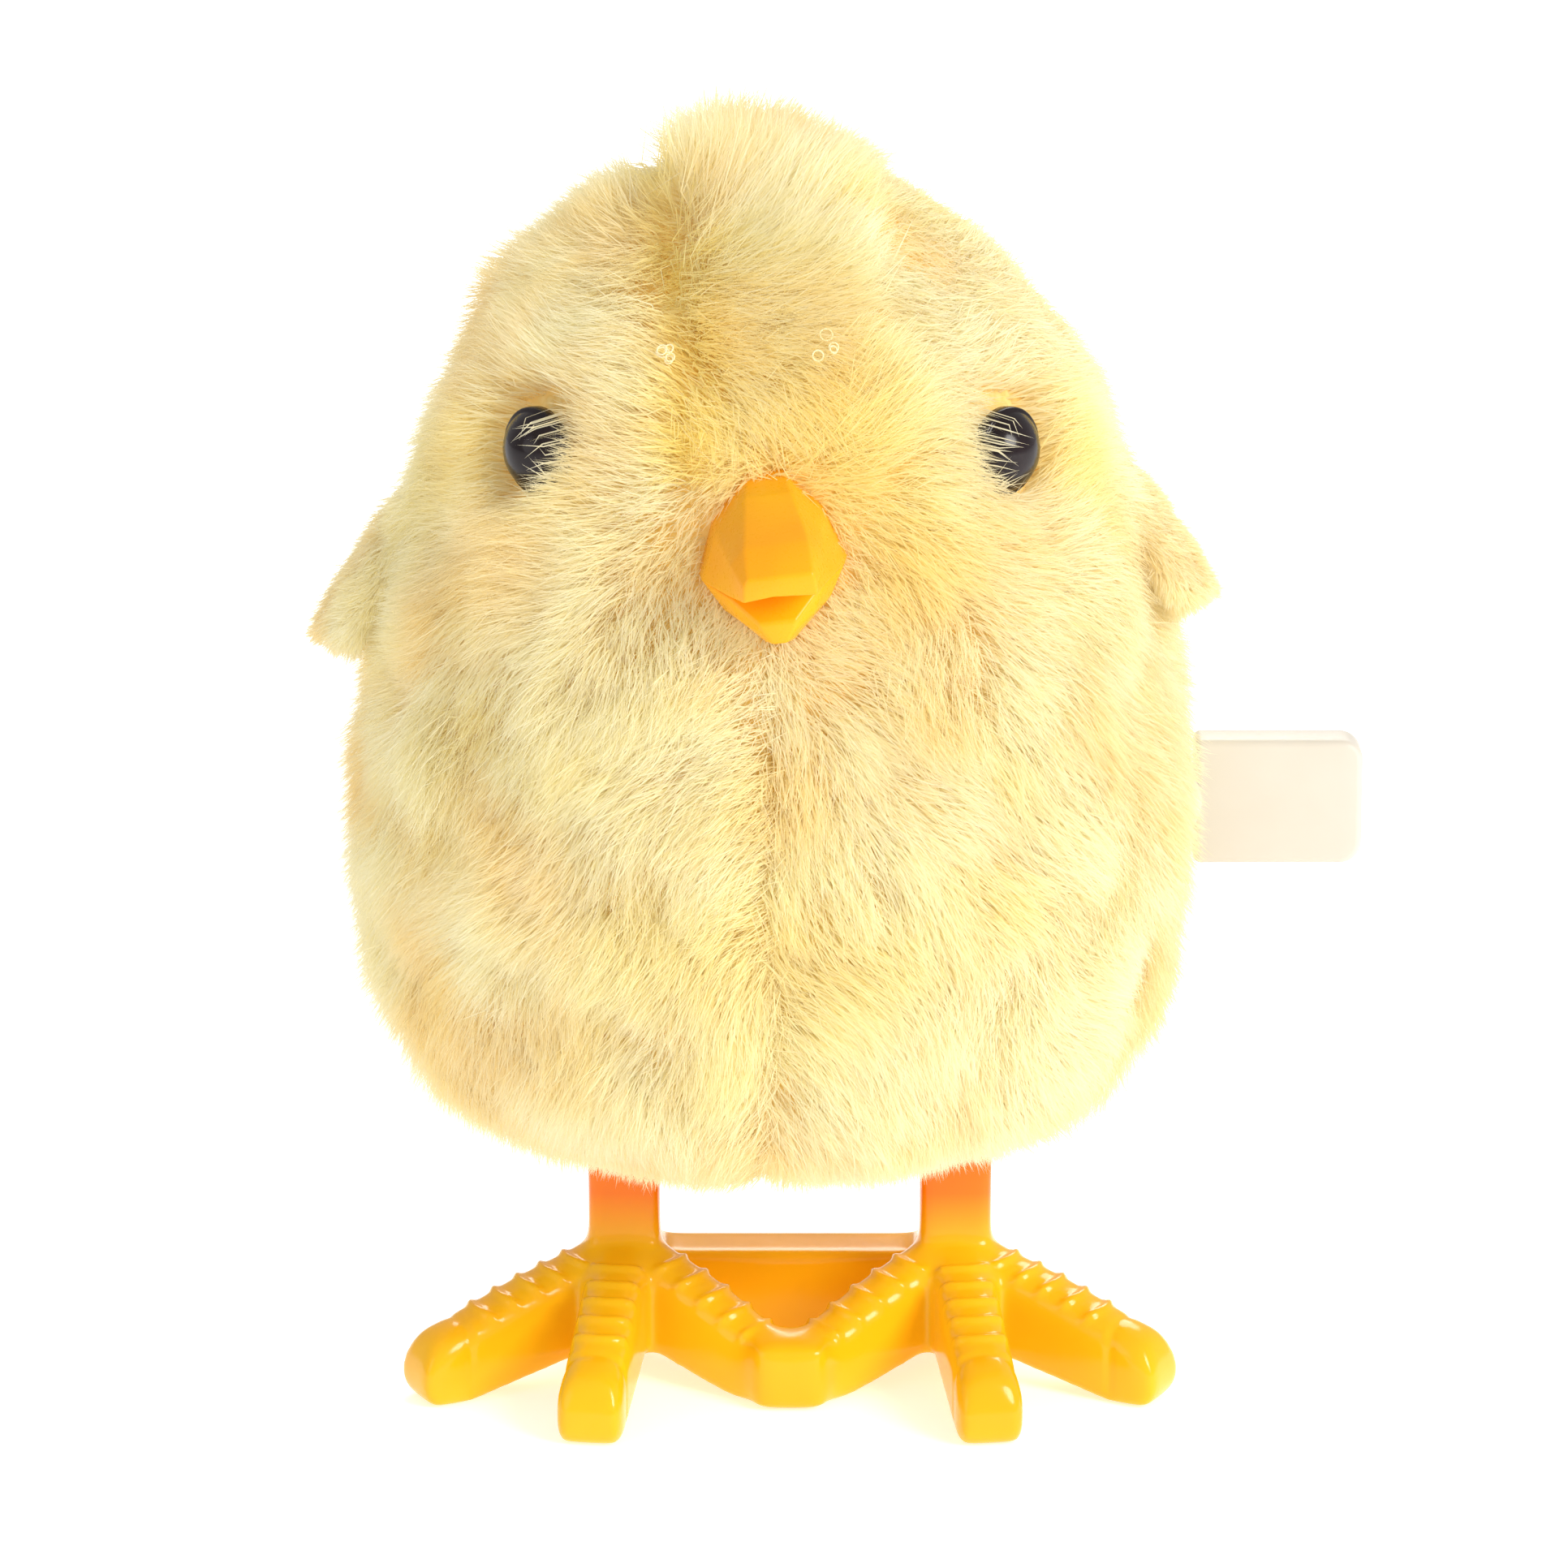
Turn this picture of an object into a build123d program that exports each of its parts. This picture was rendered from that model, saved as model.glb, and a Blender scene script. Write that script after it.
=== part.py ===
"""Wind-up hopping chick: a pile-covered body that rocks on its feet moulding, with a clockwork motor inside.

Millimetres. +Z is up, the chick faces -Y and its winding knob points along +X. The origin is on the
ground, at the centre of the flat pad where the two inner toes join.
"""

import os
from math import acos, asin, atan2, cos, degrees, hypot, pi, radians, sin, sqrt, tan

from build123d import *

# ---- driving dimensions --------------------------------------------------------------------------

# stance
LEG_Y = 7.4  # the legs stand this far behind the pad of the inner toes
LEG_X = 11.3  # half the spacing of the legs
SHANK_WIDTH = 4.9
SHANK_DEPTH = 3.5
SHANK_TOP = 25.0
ANKLE_TOP = 9.3
ARCH_HEIGHT = 2.0
TOE_WIDTH = 4.3
TOE_TIP_HEIGHT = 4.6
FRONT_TOE = (2.2, -16.0)  # tip from the leg's centre, outwards and along Y
OUTER_TOE = (14.2, -7.4)
INNER_TOE = (-LEG_X, -7.4)
HUB_RADIUS = 3.5
HEEL_BAR_FRONT = 4.0
HEEL_BAR_BACK = 9.0
HEEL_BAR_HEIGHT = 6.6

# pile-covered body, turned about a vertical axis
BODY_X = -1.2
PILE = 3.2  # thickness of the pile fabric
SHELL_WALL = 1.1
EGG = [
    # half of the outline from bottom to top: radius, height
    (0.0, 16.5),
    (12.0, 16.9),
    (19.5, 18.8),
    (24.4, 23.5),
    (27.2, 31.0),
    (28.2, 39.5),
    (27.3, 49.0),
    (24.9, 59.5),
    (21.2, 70.0),
    (15.6, 78.6),
    (8.4, 83.9),
    (0.0, 85.6),
]
GUSSET_HALF_WIDTH = 4.6
GUSSET_BOTTOM = 70.2
TUFT_TOP = 88.4

# face
EYE_RADIUS = 2.9
EYE_DOME = 1.7
EYE_RIM = 0.8
EYE_SPREAD = 46.4  # degrees either side of straight ahead
EYE_REACH = 21.0  # from the body's axis to the edge of the dome
EYE_Z = 67.8
EYE_STEM_RADIUS = 0.8
EYE_STEM_LENGTH = 4.6
BEAK_BASE = 20.0  # from the body's axis
BEAK_TIP = 29.4
BEAK_Z = 63.2
BEAK_HALF_WIDTH = 5.5
UPPER_OUTLINE = [
    (0, 5.4),
    (3.7, 3.8),
    (BEAK_HALF_WIDTH, 0),
    (0, -1.4),
    (-BEAK_HALF_WIDTH, 0),
    (-3.7, 3.8),
]
LOWER_OUTLINE = [
    (-4.6, -0.5),
    (0, 0.4),
    (4.6, -0.5),
    (2.9, -4.2),
    (0, -5.9),
    (-2.9, -4.2),
]
# lofts of the mandibles: distance from the body's axis, scale of the outline, drop
UPPER_SECTIONS = [(BEAK_BASE, 1.0, 0.0), (24.4, 0.9, 0.1), (BEAK_TIP, 0.1, 0.6)]
LOWER_SECTIONS = [(BEAK_BASE, 1.0, 0.0), (23.8, 0.85, 0.6), (27.2, 0.12, 4.0)]

# wings
WING_ROOT = (23.8, 64.0)  # from the body's axis, and height
WING_TIP = (29.4, 51.0)
WING_LENGTH_Y = 13.0
WING_THICKNESS = 2.4

# clockwork: axes are (y from the legs, height)
MODULE = 0.45
PINION_TEETH = 10
MAIN_TEETH = 30
SECOND_TEETH = 26
THIRD_TEETH = 24
ADDENDUM = 0.65  # in modules, kept short so that the small pinions need no undercut
DEDENDUM = 1.15
BACKLASH = 0.12
PRESSURE_ANGLE = 20.0
ARBOR_AXIS = (5.0, 39.2)
CRANK_AXIS = (-4.6, 39.2)
SECOND_AXIS_BEARING = 250.0  # direction from the arbor to the second axis, degrees
PIVOT_AXIS = (-4.6, 30.2)
CRANK_THROW = 1.3
CRANK_PIN_RADIUS = 0.7
CRANK_DISC_RADIUS = 2.5
ROCK_WINDOW = (7.0, 4.6)
RUNNING_CLEARANCE = 0.06

# motor case
CASE_HALF_WIDTH = 8.35
CASE_WALL = 1.2
CASE_FRONT = -13.5
CASE_BACK = 13.7
CASE_BOTTOM = 22.9
CASE_TOP = 47.9
CASE_CORNER = 2.5
CASE_SCREWS = [(-11.2, 25.2), (11.3, 25.2), (11.7, 45.9), (-11.0, 45.6)]
CASE_BOSS_RADIUS = 1.7
SCREW_RADIUS = 0.75
SCREW_HEAD_RADIUS = 1.5
SCREW_HEAD = 0.9
LUG_Y = 17.2
LUG_Z = 36.0
LUG_THICKNESS = 2.0

# leg plates beside the case
PLATE_GAP = 0.5
PLATE_THICKNESS = 2.0
PIVOT_RADIUS = 1.5
PIVOT_HEAD_RADIUS = 2.5

# winding
ARBOR_RADIUS = 1.25
KNOB_NECK_RADIUS = 2.5
KNOB_START = 27.4
KNOB_END = 38.8
KNOB_HALF_HEIGHT = 4.35
KNOB_TAPER = 0.25
KNOB_THICKNESS = 3.2
RATCHET_TEETH = 12
RATCHET_SPAN = (0.95, 1.75)  # along X
RATCHET_RADIUS = 3.0
RATCHET_ROOT = 2.4
CLICK_PEG = 5.0  # from the arbor to the peg that the click is pushed on
CLICK_PEG_RADIUS = 0.45
CLICK_THICKNESS = 0.9

# mainspring, coiled beside the main gear
SPRING_SPAN = (2.2, 6.8)  # along X
SPRING_INNER = 1.9
SPRING_OUTER = 5.9
SPRING_TURNS = 7
SPRING_THICKNESS = 0.22
SPRING_END = 60.0  # direction of the outer end from the arbor, degrees
SPRING_POST_RADIUS = 0.5
SPRING_POST_REACH = 6.8

# wheels and shafts: spans are along X
MAIN_SPAN = (-0.7, 0.7)
SECOND_SPAN = (-3.0, -1.6)
SECOND_PINION_END = 1.0
THIRD_SPAN = (-5.8, -4.4)
THIRD_PINION_END = -1.4
AXLE_RADIUS = 0.6
CRANK_SHAFT_RADIUS = 0.8

# body shell
SHELL_SCREWS = [(-LUG_Y, LUG_Z), (LUG_Y, LUG_Z), (0.0, 70.0)]
SHELL_BOSS_RADIUS = 2.3
SHELL_SCREW_HEAD_X = -8.0
SHELL_SCREW_TIP_X = 5.0
LEG_SLOT_HALF_LENGTH = 4.4
LEG_SLOT_MARGIN = 0.65

os.makedirs("parts", exist_ok=True)


# ---- helpers -------------------------------------------------------------------------------------


def at_legs(y_z):
    """Turns an axis given from the legs into a point of a sketch on Plane.YZ."""
    return (y_z[0] + LEG_Y, y_z[1])


def across(x):
    """The plane across the toy at a given X: its sketches are drawn in Y and Z."""
    return Plane.YZ.offset(x)


def save(builder, name):
    builder.part.label = name
    export_step(builder.part, f"parts/{name}.step")


def rod(x0, x1, axis, radius, mode=Mode.ADD):
    """A round bar along X, drawn into the part that is being built."""
    with BuildSketch(across(x0)) as section:
        with Locations(at_legs(axis)):
            Circle(radius)
    extrude(section.sketch, amount=x1 - x0, mode=mode)


def egg_outline(inset):
    """The half outline moved inwards by inset along its own normal."""
    moved = []
    for i, (r, z) in enumerate(EGG):
        before = EGG[i - 1] if i else (-EGG[1][0], EGG[1][1])
        after = EGG[i + 1] if i + 1 < len(EGG) else (-EGG[-2][0], EGG[-2][1])
        dr, dz = after[0] - before[0], after[1] - before[1]
        length = hypot(dr, dz)
        moved.append((max(r - inset * dz / length, 0.0), z + inset * dr / length))
    return moved


def egg(inset):
    """The body's solid of revolution, inset from the pile's surface."""
    points = egg_outline(inset)
    with BuildPart() as solid:
        with BuildSketch(Plane.XZ) as half:
            with BuildLine():
                Spline(*points, tangents=((1, 0), (-1, 0)))
                Line(points[-1], points[0])
            make_face()
        revolve(axis=Axis.Z)
    # turned so that the surface's own seam meets no slot, hole or screw boss
    return solid.part.moved(Location((BODY_X, LEG_Y, 0), (0, 0, 75)))


def involute_point(base, radius, turn, side):
    """A point of a tooth's flank at a radius, turned about the gear's centre."""
    angle = acos(min(base / radius, 1.0))
    roll = tan(angle) - angle
    return radius * cos(turn - side * roll), radius * sin(turn - side * roll)


def gear_points(teeth, tooth_towards):
    """The outline of a spur gear with one tooth centred on the direction tooth_towards, in degrees."""
    pitch = MODULE * teeth / 2
    base = pitch * cos(radians(PRESSURE_ANGLE))
    tip = pitch + ADDENDUM * MODULE
    root = pitch - DEDENDUM * MODULE
    flank_angle = radians(PRESSURE_ANGLE)
    half_tooth = pi / (2 * teeth) - BACKLASH * MODULE / pitch + tan(flank_angle) - flank_angle
    start = max(base, root)
    radii = [start + (tip - start) * step / 4 for step in range(5)]
    points = []
    for tooth in range(teeth):
        middle = radians(tooth_towards) + 2 * pi * tooth / teeth
        points.append((root * cos(middle - half_tooth), root * sin(middle - half_tooth)))
        points += [involute_point(base, radius, middle - half_tooth, -1) for radius in radii]
        points += [involute_point(base, radius, middle + half_tooth, 1) for radius in reversed(radii)]
        points.append((root * cos(middle + half_tooth), root * sin(middle + half_tooth)))
    return points


def gear_layer(x0, x1, axis, teeth, tooth_towards):
    """One toothed layer of a wheel, drawn into the part that is being built."""
    centre_y, centre_z = at_legs(axis)
    outline = [(centre_y + y, centre_z + z) for y, z in gear_points(teeth, tooth_towards)]
    with BuildSketch(across(x0)) as section:
        with BuildLine():
            Polyline(*outline, close=True)
        make_face()
    extrude(section.sketch, amount=x1 - x0)


def bearing(start, end):
    """Direction from one axis to another, in degrees."""
    return degrees(atan2(end[1] - start[1], end[0] - start[0]))


def space_towards(teeth, direction):
    """Where a tooth's centre is when a space between teeth faces the direction."""
    return direction + 180.0 / teeth


# ---- clockwork layout ----------------------------------------------------------------------------

main_to_second = MODULE * (MAIN_TEETH + PINION_TEETH) / 2
second_to_third = MODULE * (SECOND_TEETH + PINION_TEETH) / 2
third_to_crank = MODULE * (THIRD_TEETH + PINION_TEETH) / 2

SECOND_AXIS = (
    ARBOR_AXIS[0] + main_to_second * cos(radians(SECOND_AXIS_BEARING)),
    ARBOR_AXIS[1] + main_to_second * sin(radians(SECOND_AXIS_BEARING)),
)
crank_to_second = hypot(SECOND_AXIS[0] - CRANK_AXIS[0], SECOND_AXIS[1] - CRANK_AXIS[1])
along = (third_to_crank**2 - second_to_third**2 + crank_to_second**2) / (2 * crank_to_second)
aside = sqrt(third_to_crank**2 - along**2)
unit_y = (SECOND_AXIS[0] - CRANK_AXIS[0]) / crank_to_second
unit_z = (SECOND_AXIS[1] - CRANK_AXIS[1]) / crank_to_second
THIRD_AXIS = (
    CRANK_AXIS[0] + along * unit_y + aside * unit_z,
    CRANK_AXIS[1] + along * unit_z - aside * unit_y,
)

SPRING_POST = (
    ARBOR_AXIS[0] + SPRING_POST_REACH * cos(radians(SPRING_END)),
    ARBOR_AXIS[1] + SPRING_POST_REACH * sin(radians(SPRING_END)),
)
PLATE_INSIDE = CASE_HALF_WIDTH + PLATE_GAP
PLATE_OUTSIDE = PLATE_INSIDE + PLATE_THICKNESS


# ---- legs and feet -------------------------------------------------------------------------------


def toe(side, tip, width):
    """One toe: a humped bar from the leg's centre to its tip, arched underneath and rounded on top."""
    start = Vector(side * LEG_X, LEG_Y, 0)
    reach = Vector(side * tip[0], tip[1], 0)
    length = reach.length
    upright = Plane(origin=start, x_dir=reach, z_dir=reach.cross(Vector(0, 0, 1)))
    with BuildPart() as bar:
        with BuildSketch(upright):
            with BuildLine():
                Polyline(
                    (0, ARCH_HEIGHT),
                    (4.0, ARCH_HEIGHT),
                    (length - 3.6, 0),
                    (length - 0.7, 0),
                    (length, 0.9),
                    (length, 2.6),
                    (length - 1.0, TOE_TIP_HEIGHT),
                    (length * 0.5, 7.4),
                    (2.0, ANKLE_TOP),
                    (0, ANKLE_TOP),
                    close=True,
                )
            make_face()
        extrude(amount=width / 2, both=True)
        top = bar.edges().filter_by(lambda e: e.center().Z > 4.0 and e.length > 4.0)
        fillet(top.filter_by(lambda e: abs(e.tangent_at(0.5).dot(reach.normalized())) > 0.5), width * 0.36)
    return bar.part


toes = []
for side in (-1, 1):
    toes.append(toe(side, FRONT_TOE, TOE_WIDTH))
    toes.append(toe(side, OUTER_TOE, TOE_WIDTH))
    toes.append(toe(side, INNER_TOE, TOE_WIDTH))

with BuildPart() as legs_and_feet:
    add(toes)
    # the pad where the inner toes meet
    with BuildSketch(Plane.XY):
        RectangleRounded(5.4, 4.6, 1.0)
    extrude(amount=4.9)
    for side in (-1, 1):
        # hub, shank and heel
        with BuildSketch(Plane.XY.offset(ARCH_HEIGHT)):
            with Locations((side * LEG_X, LEG_Y)):
                Circle(HUB_RADIUS)
        extrude(amount=ANKLE_TOP - 1.0 - ARCH_HEIGHT)
        with BuildSketch(Plane.XY.offset(ARCH_HEIGHT)):
            with Locations((side * LEG_X, LEG_Y)):
                Rectangle(SHANK_WIDTH, SHANK_DEPTH)
        extrude(amount=SHANK_TOP - ARCH_HEIGHT)
        with BuildSketch(across(side * LEG_X)):
            with BuildLine():
                Polyline(
                    (LEG_Y, ARCH_HEIGHT),
                    (LEG_Y + HEEL_BAR_FRONT, 0),
                    (LEG_Y + HEEL_BAR_BACK, 0),
                    (LEG_Y + HEEL_BAR_BACK, HEEL_BAR_HEIGHT),
                    (LEG_Y + SHANK_DEPTH / 2, 10.5),
                    (LEG_Y, 10.5),
                    close=True,
                )
            make_face()
        extrude(amount=SHANK_WIDTH / 2, both=True)
    # heel bar
    with BuildSketch(Plane.XY):
        with Locations((0, LEG_Y + (HEEL_BAR_FRONT + HEEL_BAR_BACK) / 2)):
            Rectangle(2 * LEG_X + SHANK_WIDTH, HEEL_BAR_BACK - HEEL_BAR_FRONT)
    extrude(amount=HEEL_BAR_HEIGHT)
    # plates that carry the pivot and the crank's window, one each side of the motor case
    for side in (-1, 1):
        with BuildSketch(across(side * PLATE_INSIDE)):
            with BuildLine():
                Polyline(
                    (LEG_Y - SHANK_DEPTH / 2, 20.0),
                    (LEG_Y + SHANK_DEPTH / 2, 20.0),
                    (LEG_Y + SHANK_DEPTH / 2, 26.5),
                    (LEG_Y + 0.4, 31.0),
                    (LEG_Y + 0.4, 43.2),
                    (LEG_Y - 9.6, 43.2),
                    (LEG_Y - 9.6, 31.0),
                    (LEG_Y - 7.0, 26.5),
                    close=True,
                )
            make_face()
            with Locations(at_legs(PIVOT_AXIS)):
                Circle(PIVOT_RADIUS + RUNNING_CLEARANCE, mode=Mode.SUBTRACT)
            with Locations(at_legs(CRANK_AXIS)):
                RectangleRounded(*ROCK_WINDOW, 0.6, mode=Mode.SUBTRACT)
        extrude(amount=side * PLATE_THICKNESS)
save(legs_and_feet, "legs_and_feet")


# ---- motor case ----------------------------------------------------------------------------------


def case_half(side):
    """One half of the motor case: a tray with bearing holes and four screw bosses."""
    middle_y = LEG_Y + (CASE_FRONT + CASE_BACK) / 2
    middle_z = (CASE_BOTTOM + CASE_TOP) / 2
    length = CASE_BACK - CASE_FRONT
    height = CASE_TOP - CASE_BOTTOM
    with BuildPart() as half:
        with BuildSketch(across(0)):
            with Locations((middle_y, middle_z)):
                RectangleRounded(length, height, CASE_CORNER)
        extrude(amount=side * CASE_HALF_WIDTH)
        with BuildSketch(across(0)):
            with Locations((middle_y, middle_z)):
                RectangleRounded(length - 2 * CASE_WALL, height - 2 * CASE_WALL, CASE_CORNER - CASE_WALL)
        extrude(amount=side * (CASE_HALF_WIDTH - CASE_WALL), mode=Mode.SUBTRACT)
        for screw in CASE_SCREWS:
            rod(0, side * (CASE_HALF_WIDTH - CASE_WALL / 2), screw, CASE_BOSS_RADIUS)
            if side < 0:
                rod(0, -CASE_HALF_WIDTH, screw, SCREW_RADIUS + 0.1, Mode.SUBTRACT)
                head_seat = -(CASE_HALF_WIDTH - SCREW_HEAD)
                rod(head_seat, -CASE_HALF_WIDTH, screw, SCREW_HEAD_RADIUS + 0.1, Mode.SUBTRACT)
            else:
                rod(0, 5.0, screw, SCREW_RADIUS, Mode.SUBTRACT)
        wall = (side * (CASE_HALF_WIDTH - CASE_WALL), side * CASE_HALF_WIDTH)
        rod(*wall, ARBOR_AXIS, ARBOR_RADIUS + RUNNING_CLEARANCE, Mode.SUBTRACT)
        rod(*wall, SECOND_AXIS, AXLE_RADIUS + RUNNING_CLEARANCE, Mode.SUBTRACT)
        rod(*wall, THIRD_AXIS, AXLE_RADIUS + RUNNING_CLEARANCE, Mode.SUBTRACT)
        rod(*wall, CRANK_AXIS, CRANK_DISC_RADIUS + RUNNING_CLEARANCE, Mode.SUBTRACT)
        # seat of the pivot pin
        rod(*wall, PIVOT_AXIS, PIVOT_RADIUS, Mode.SUBTRACT)
        if side > 0:
            # post that holds the mainspring's outer end
            rod(SPRING_SPAN[0], wall[0], SPRING_POST, SPRING_POST_RADIUS)
        else:
            # lugs that the body shell's screws pass through
            for lug_y, wall_y in ((-LUG_Y, CASE_FRONT), (LUG_Y, CASE_BACK)):
                with BuildSketch(across(-LUG_THICKNESS)):
                    with Locations((LEG_Y + (lug_y + wall_y) / 2, LUG_Z)):
                        Rectangle(abs(lug_y - wall_y), 5.0)
                    with Locations(at_legs((lug_y, LUG_Z))):
                        Circle(2.5)
                        Circle(SCREW_RADIUS + 0.1, mode=Mode.SUBTRACT)
                extrude(amount=LUG_THICKNESS)
    return half


motor_case_left = case_half(-1)
save(motor_case_left, "motor_case_left")
motor_case_right = case_half(1)
save(motor_case_right, "motor_case_right")

with BuildPart() as motor_case_screws:
    for screw in CASE_SCREWS:
        rod(-CASE_HALF_WIDTH, -CASE_HALF_WIDTH + SCREW_HEAD, screw, SCREW_HEAD_RADIUS)
        rod(-CASE_HALF_WIDTH + SCREW_HEAD, 4.6, screw, SCREW_RADIUS)
save(motor_case_screws, "motor_case_screws")

with BuildPart() as leg_pivot_pins:
    for side in (-1, 1):
        rod(side * (CASE_HALF_WIDTH - CASE_WALL), side * (PLATE_OUTSIDE + 0.3), PIVOT_AXIS, PIVOT_RADIUS)
        rod(side * (PLATE_OUTSIDE + 0.3), side * (PLATE_OUTSIDE + 1.1), PIVOT_AXIS, PIVOT_HEAD_RADIUS)
save(leg_pivot_pins, "leg_pivot_pins")


# ---- mainspring and winding ----------------------------------------------------------------------


def spiral(offset):
    """Points of the mainspring's face, from its inner to its outer end."""
    points = []
    steps = SPRING_TURNS * 8
    for step in range(steps + 1):
        share = step / steps
        radius = SPRING_INNER + (SPRING_OUTER - SPRING_INNER) * share + offset
        angle = radians(SPRING_END) - 2 * pi * SPRING_TURNS * (1 - share)
        centre_y, centre_z = at_legs(ARBOR_AXIS)
        points.append((centre_y + radius * cos(angle), centre_z + radius * sin(angle)))
    return points


with BuildPart() as mainspring:
    with BuildSketch(across(SPRING_SPAN[0])):
        with BuildLine():
            inner = Spline(*spiral(0))
            outer = Spline(*spiral(SPRING_THICKNESS))
            Line(inner @ 0, outer @ 0)
            Line(inner @ 1, outer @ 1)
        make_face()
    extrude(amount=SPRING_SPAN[1] - SPRING_SPAN[0])
save(mainspring, "mainspring")

with BuildPart() as winding_arbor:
    rod(-CASE_HALF_WIDTH, KNOB_START - 3.0, ARBOR_AXIS, ARBOR_RADIUS)
save(winding_arbor, "winding_arbor")

with BuildPart() as ratchet_wheel:
    with BuildSketch(across(RATCHET_SPAN[0])):
        with BuildLine():
            teeth = []
            for tooth in range(RATCHET_TEETH):
                turn = 2 * pi * tooth / RATCHET_TEETH
                centre_y, centre_z = at_legs(ARBOR_AXIS)
                for radius in (RATCHET_ROOT, RATCHET_RADIUS):
                    teeth.append((centre_y + radius * cos(turn), centre_z + radius * sin(turn)))
            Polyline(*teeth, close=True)
        make_face()
    extrude(amount=RATCHET_SPAN[1] - RATCHET_SPAN[0])
    rod(*RATCHET_SPAN, ARBOR_AXIS, ARBOR_RADIUS, Mode.SUBTRACT)
save(ratchet_wheel, "ratchet_wheel")

with BuildPart() as winding_knob:
    # round neck over the arbor, then the flat paddle
    rod(13.0, KNOB_START + 1.0, ARBOR_AXIS, KNOB_NECK_RADIUS)
    knob_y, knob_z = at_legs(ARBOR_AXIS)
    with BuildSketch(Plane.XZ.offset(-knob_y)):
        with BuildLine():
            Polyline(
                (KNOB_START, knob_z - KNOB_HALF_HEIGHT),
                (KNOB_END, knob_z - KNOB_HALF_HEIGHT + KNOB_TAPER),
                (KNOB_END, knob_z + KNOB_HALF_HEIGHT - KNOB_TAPER),
                (KNOB_START, knob_z + KNOB_HALF_HEIGHT),
                close=True,
            )
        make_face()
    extrude(amount=KNOB_THICKNESS / 2, both=True)
    corners = winding_knob.edges().filter_by(Axis.Y).group_by(Axis.X)[-1]
    fillet(corners, 1.1)
    rod(13.0, KNOB_START - 3.0, ARBOR_AXIS, ARBOR_RADIUS, Mode.SUBTRACT)
save(winding_knob, "winding_knob")


# ---- gear train ----------------------------------------------------------------------------------

with BuildPart() as main_gear:
    gear_layer(*MAIN_SPAN, ARBOR_AXIS, MAIN_TEETH, bearing(ARBOR_AXIS, SECOND_AXIS))
    rod(*MAIN_SPAN, ARBOR_AXIS, ARBOR_RADIUS + RUNNING_CLEARANCE, Mode.SUBTRACT)
    rod(MAIN_SPAN[1], MAIN_SPAN[1] + 1.1, (ARBOR_AXIS[0] + CLICK_PEG, ARBOR_AXIS[1]), CLICK_PEG_RADIUS)
save(main_gear, "main_gear")

with BuildPart() as click_pawl:
    # a leaf that reaches from its peg to a tooth of the ratchet wheel
    peg_y = LEG_Y + ARBOR_AXIS[0] + CLICK_PEG
    peg_z = ARBOR_AXIS[1]
    tip_turn = radians(40.0)
    tip_y = LEG_Y + ARBOR_AXIS[0] + (RATCHET_RADIUS + 0.15) * cos(tip_turn)
    tip_z = ARBOR_AXIS[1] + (RATCHET_RADIUS + 0.15) * sin(tip_turn)
    with BuildSketch(across(MAIN_SPAN[1] + 0.1)):
        with Locations((peg_y, peg_z)):
            Circle(0.9)
        with BuildLine():
            Polyline(
                (peg_y - 0.5, peg_z + 0.5),
                (peg_y + 0.6, peg_z + 0.5),
                (tip_y + 0.7, tip_z + 0.5),
                (tip_y, tip_z),
                close=True,
            )
        make_face()
        with Locations((peg_y, peg_z)):
            Circle(CLICK_PEG_RADIUS, mode=Mode.SUBTRACT)
    extrude(amount=CLICK_THICKNESS)
save(click_pawl, "click_pawl")

with BuildPart() as second_gear:
    gear_layer(*SECOND_SPAN, SECOND_AXIS, SECOND_TEETH, bearing(SECOND_AXIS, THIRD_AXIS))
    second_pinion_towards = space_towards(PINION_TEETH, bearing(SECOND_AXIS, ARBOR_AXIS))
    gear_layer(SECOND_SPAN[1], SECOND_PINION_END, SECOND_AXIS, PINION_TEETH, second_pinion_towards)
    rod(SECOND_SPAN[0], SECOND_PINION_END, SECOND_AXIS, AXLE_RADIUS, Mode.SUBTRACT)
save(second_gear, "second_gear")

with BuildPart() as third_gear:
    gear_layer(*THIRD_SPAN, THIRD_AXIS, THIRD_TEETH, bearing(THIRD_AXIS, CRANK_AXIS))
    third_pinion_towards = space_towards(PINION_TEETH, bearing(THIRD_AXIS, SECOND_AXIS))
    gear_layer(THIRD_SPAN[1], THIRD_PINION_END, THIRD_AXIS, PINION_TEETH, third_pinion_towards)
    rod(THIRD_SPAN[0], THIRD_PINION_END, THIRD_AXIS, AXLE_RADIUS, Mode.SUBTRACT)
save(third_gear, "third_gear")

for name, axis in (("second_axle", SECOND_AXIS), ("third_axle", THIRD_AXIS)):
    with BuildPart() as axle:
        rod(-CASE_HALF_WIDTH + 0.1, CASE_HALF_WIDTH - 0.1, axis, AXLE_RADIUS)
    save(axle, name)

crank_to_third = bearing(CRANK_AXIS, THIRD_AXIS)
with BuildPart() as crank_pinion:
    pinion_span = (THIRD_SPAN[0] - 0.2, THIRD_SPAN[1] + 0.2)
    gear_layer(*pinion_span, CRANK_AXIS, PINION_TEETH, space_towards(PINION_TEETH, crank_to_third))
    rod(*pinion_span, CRANK_AXIS, CRANK_SHAFT_RADIUS, Mode.SUBTRACT)
save(crank_pinion, "crank_pinion")

with BuildPart() as crank_shaft:
    rod(-CASE_HALF_WIDTH, CASE_HALF_WIDTH, CRANK_AXIS, CRANK_SHAFT_RADIUS)
save(crank_shaft, "crank_shaft")

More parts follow.
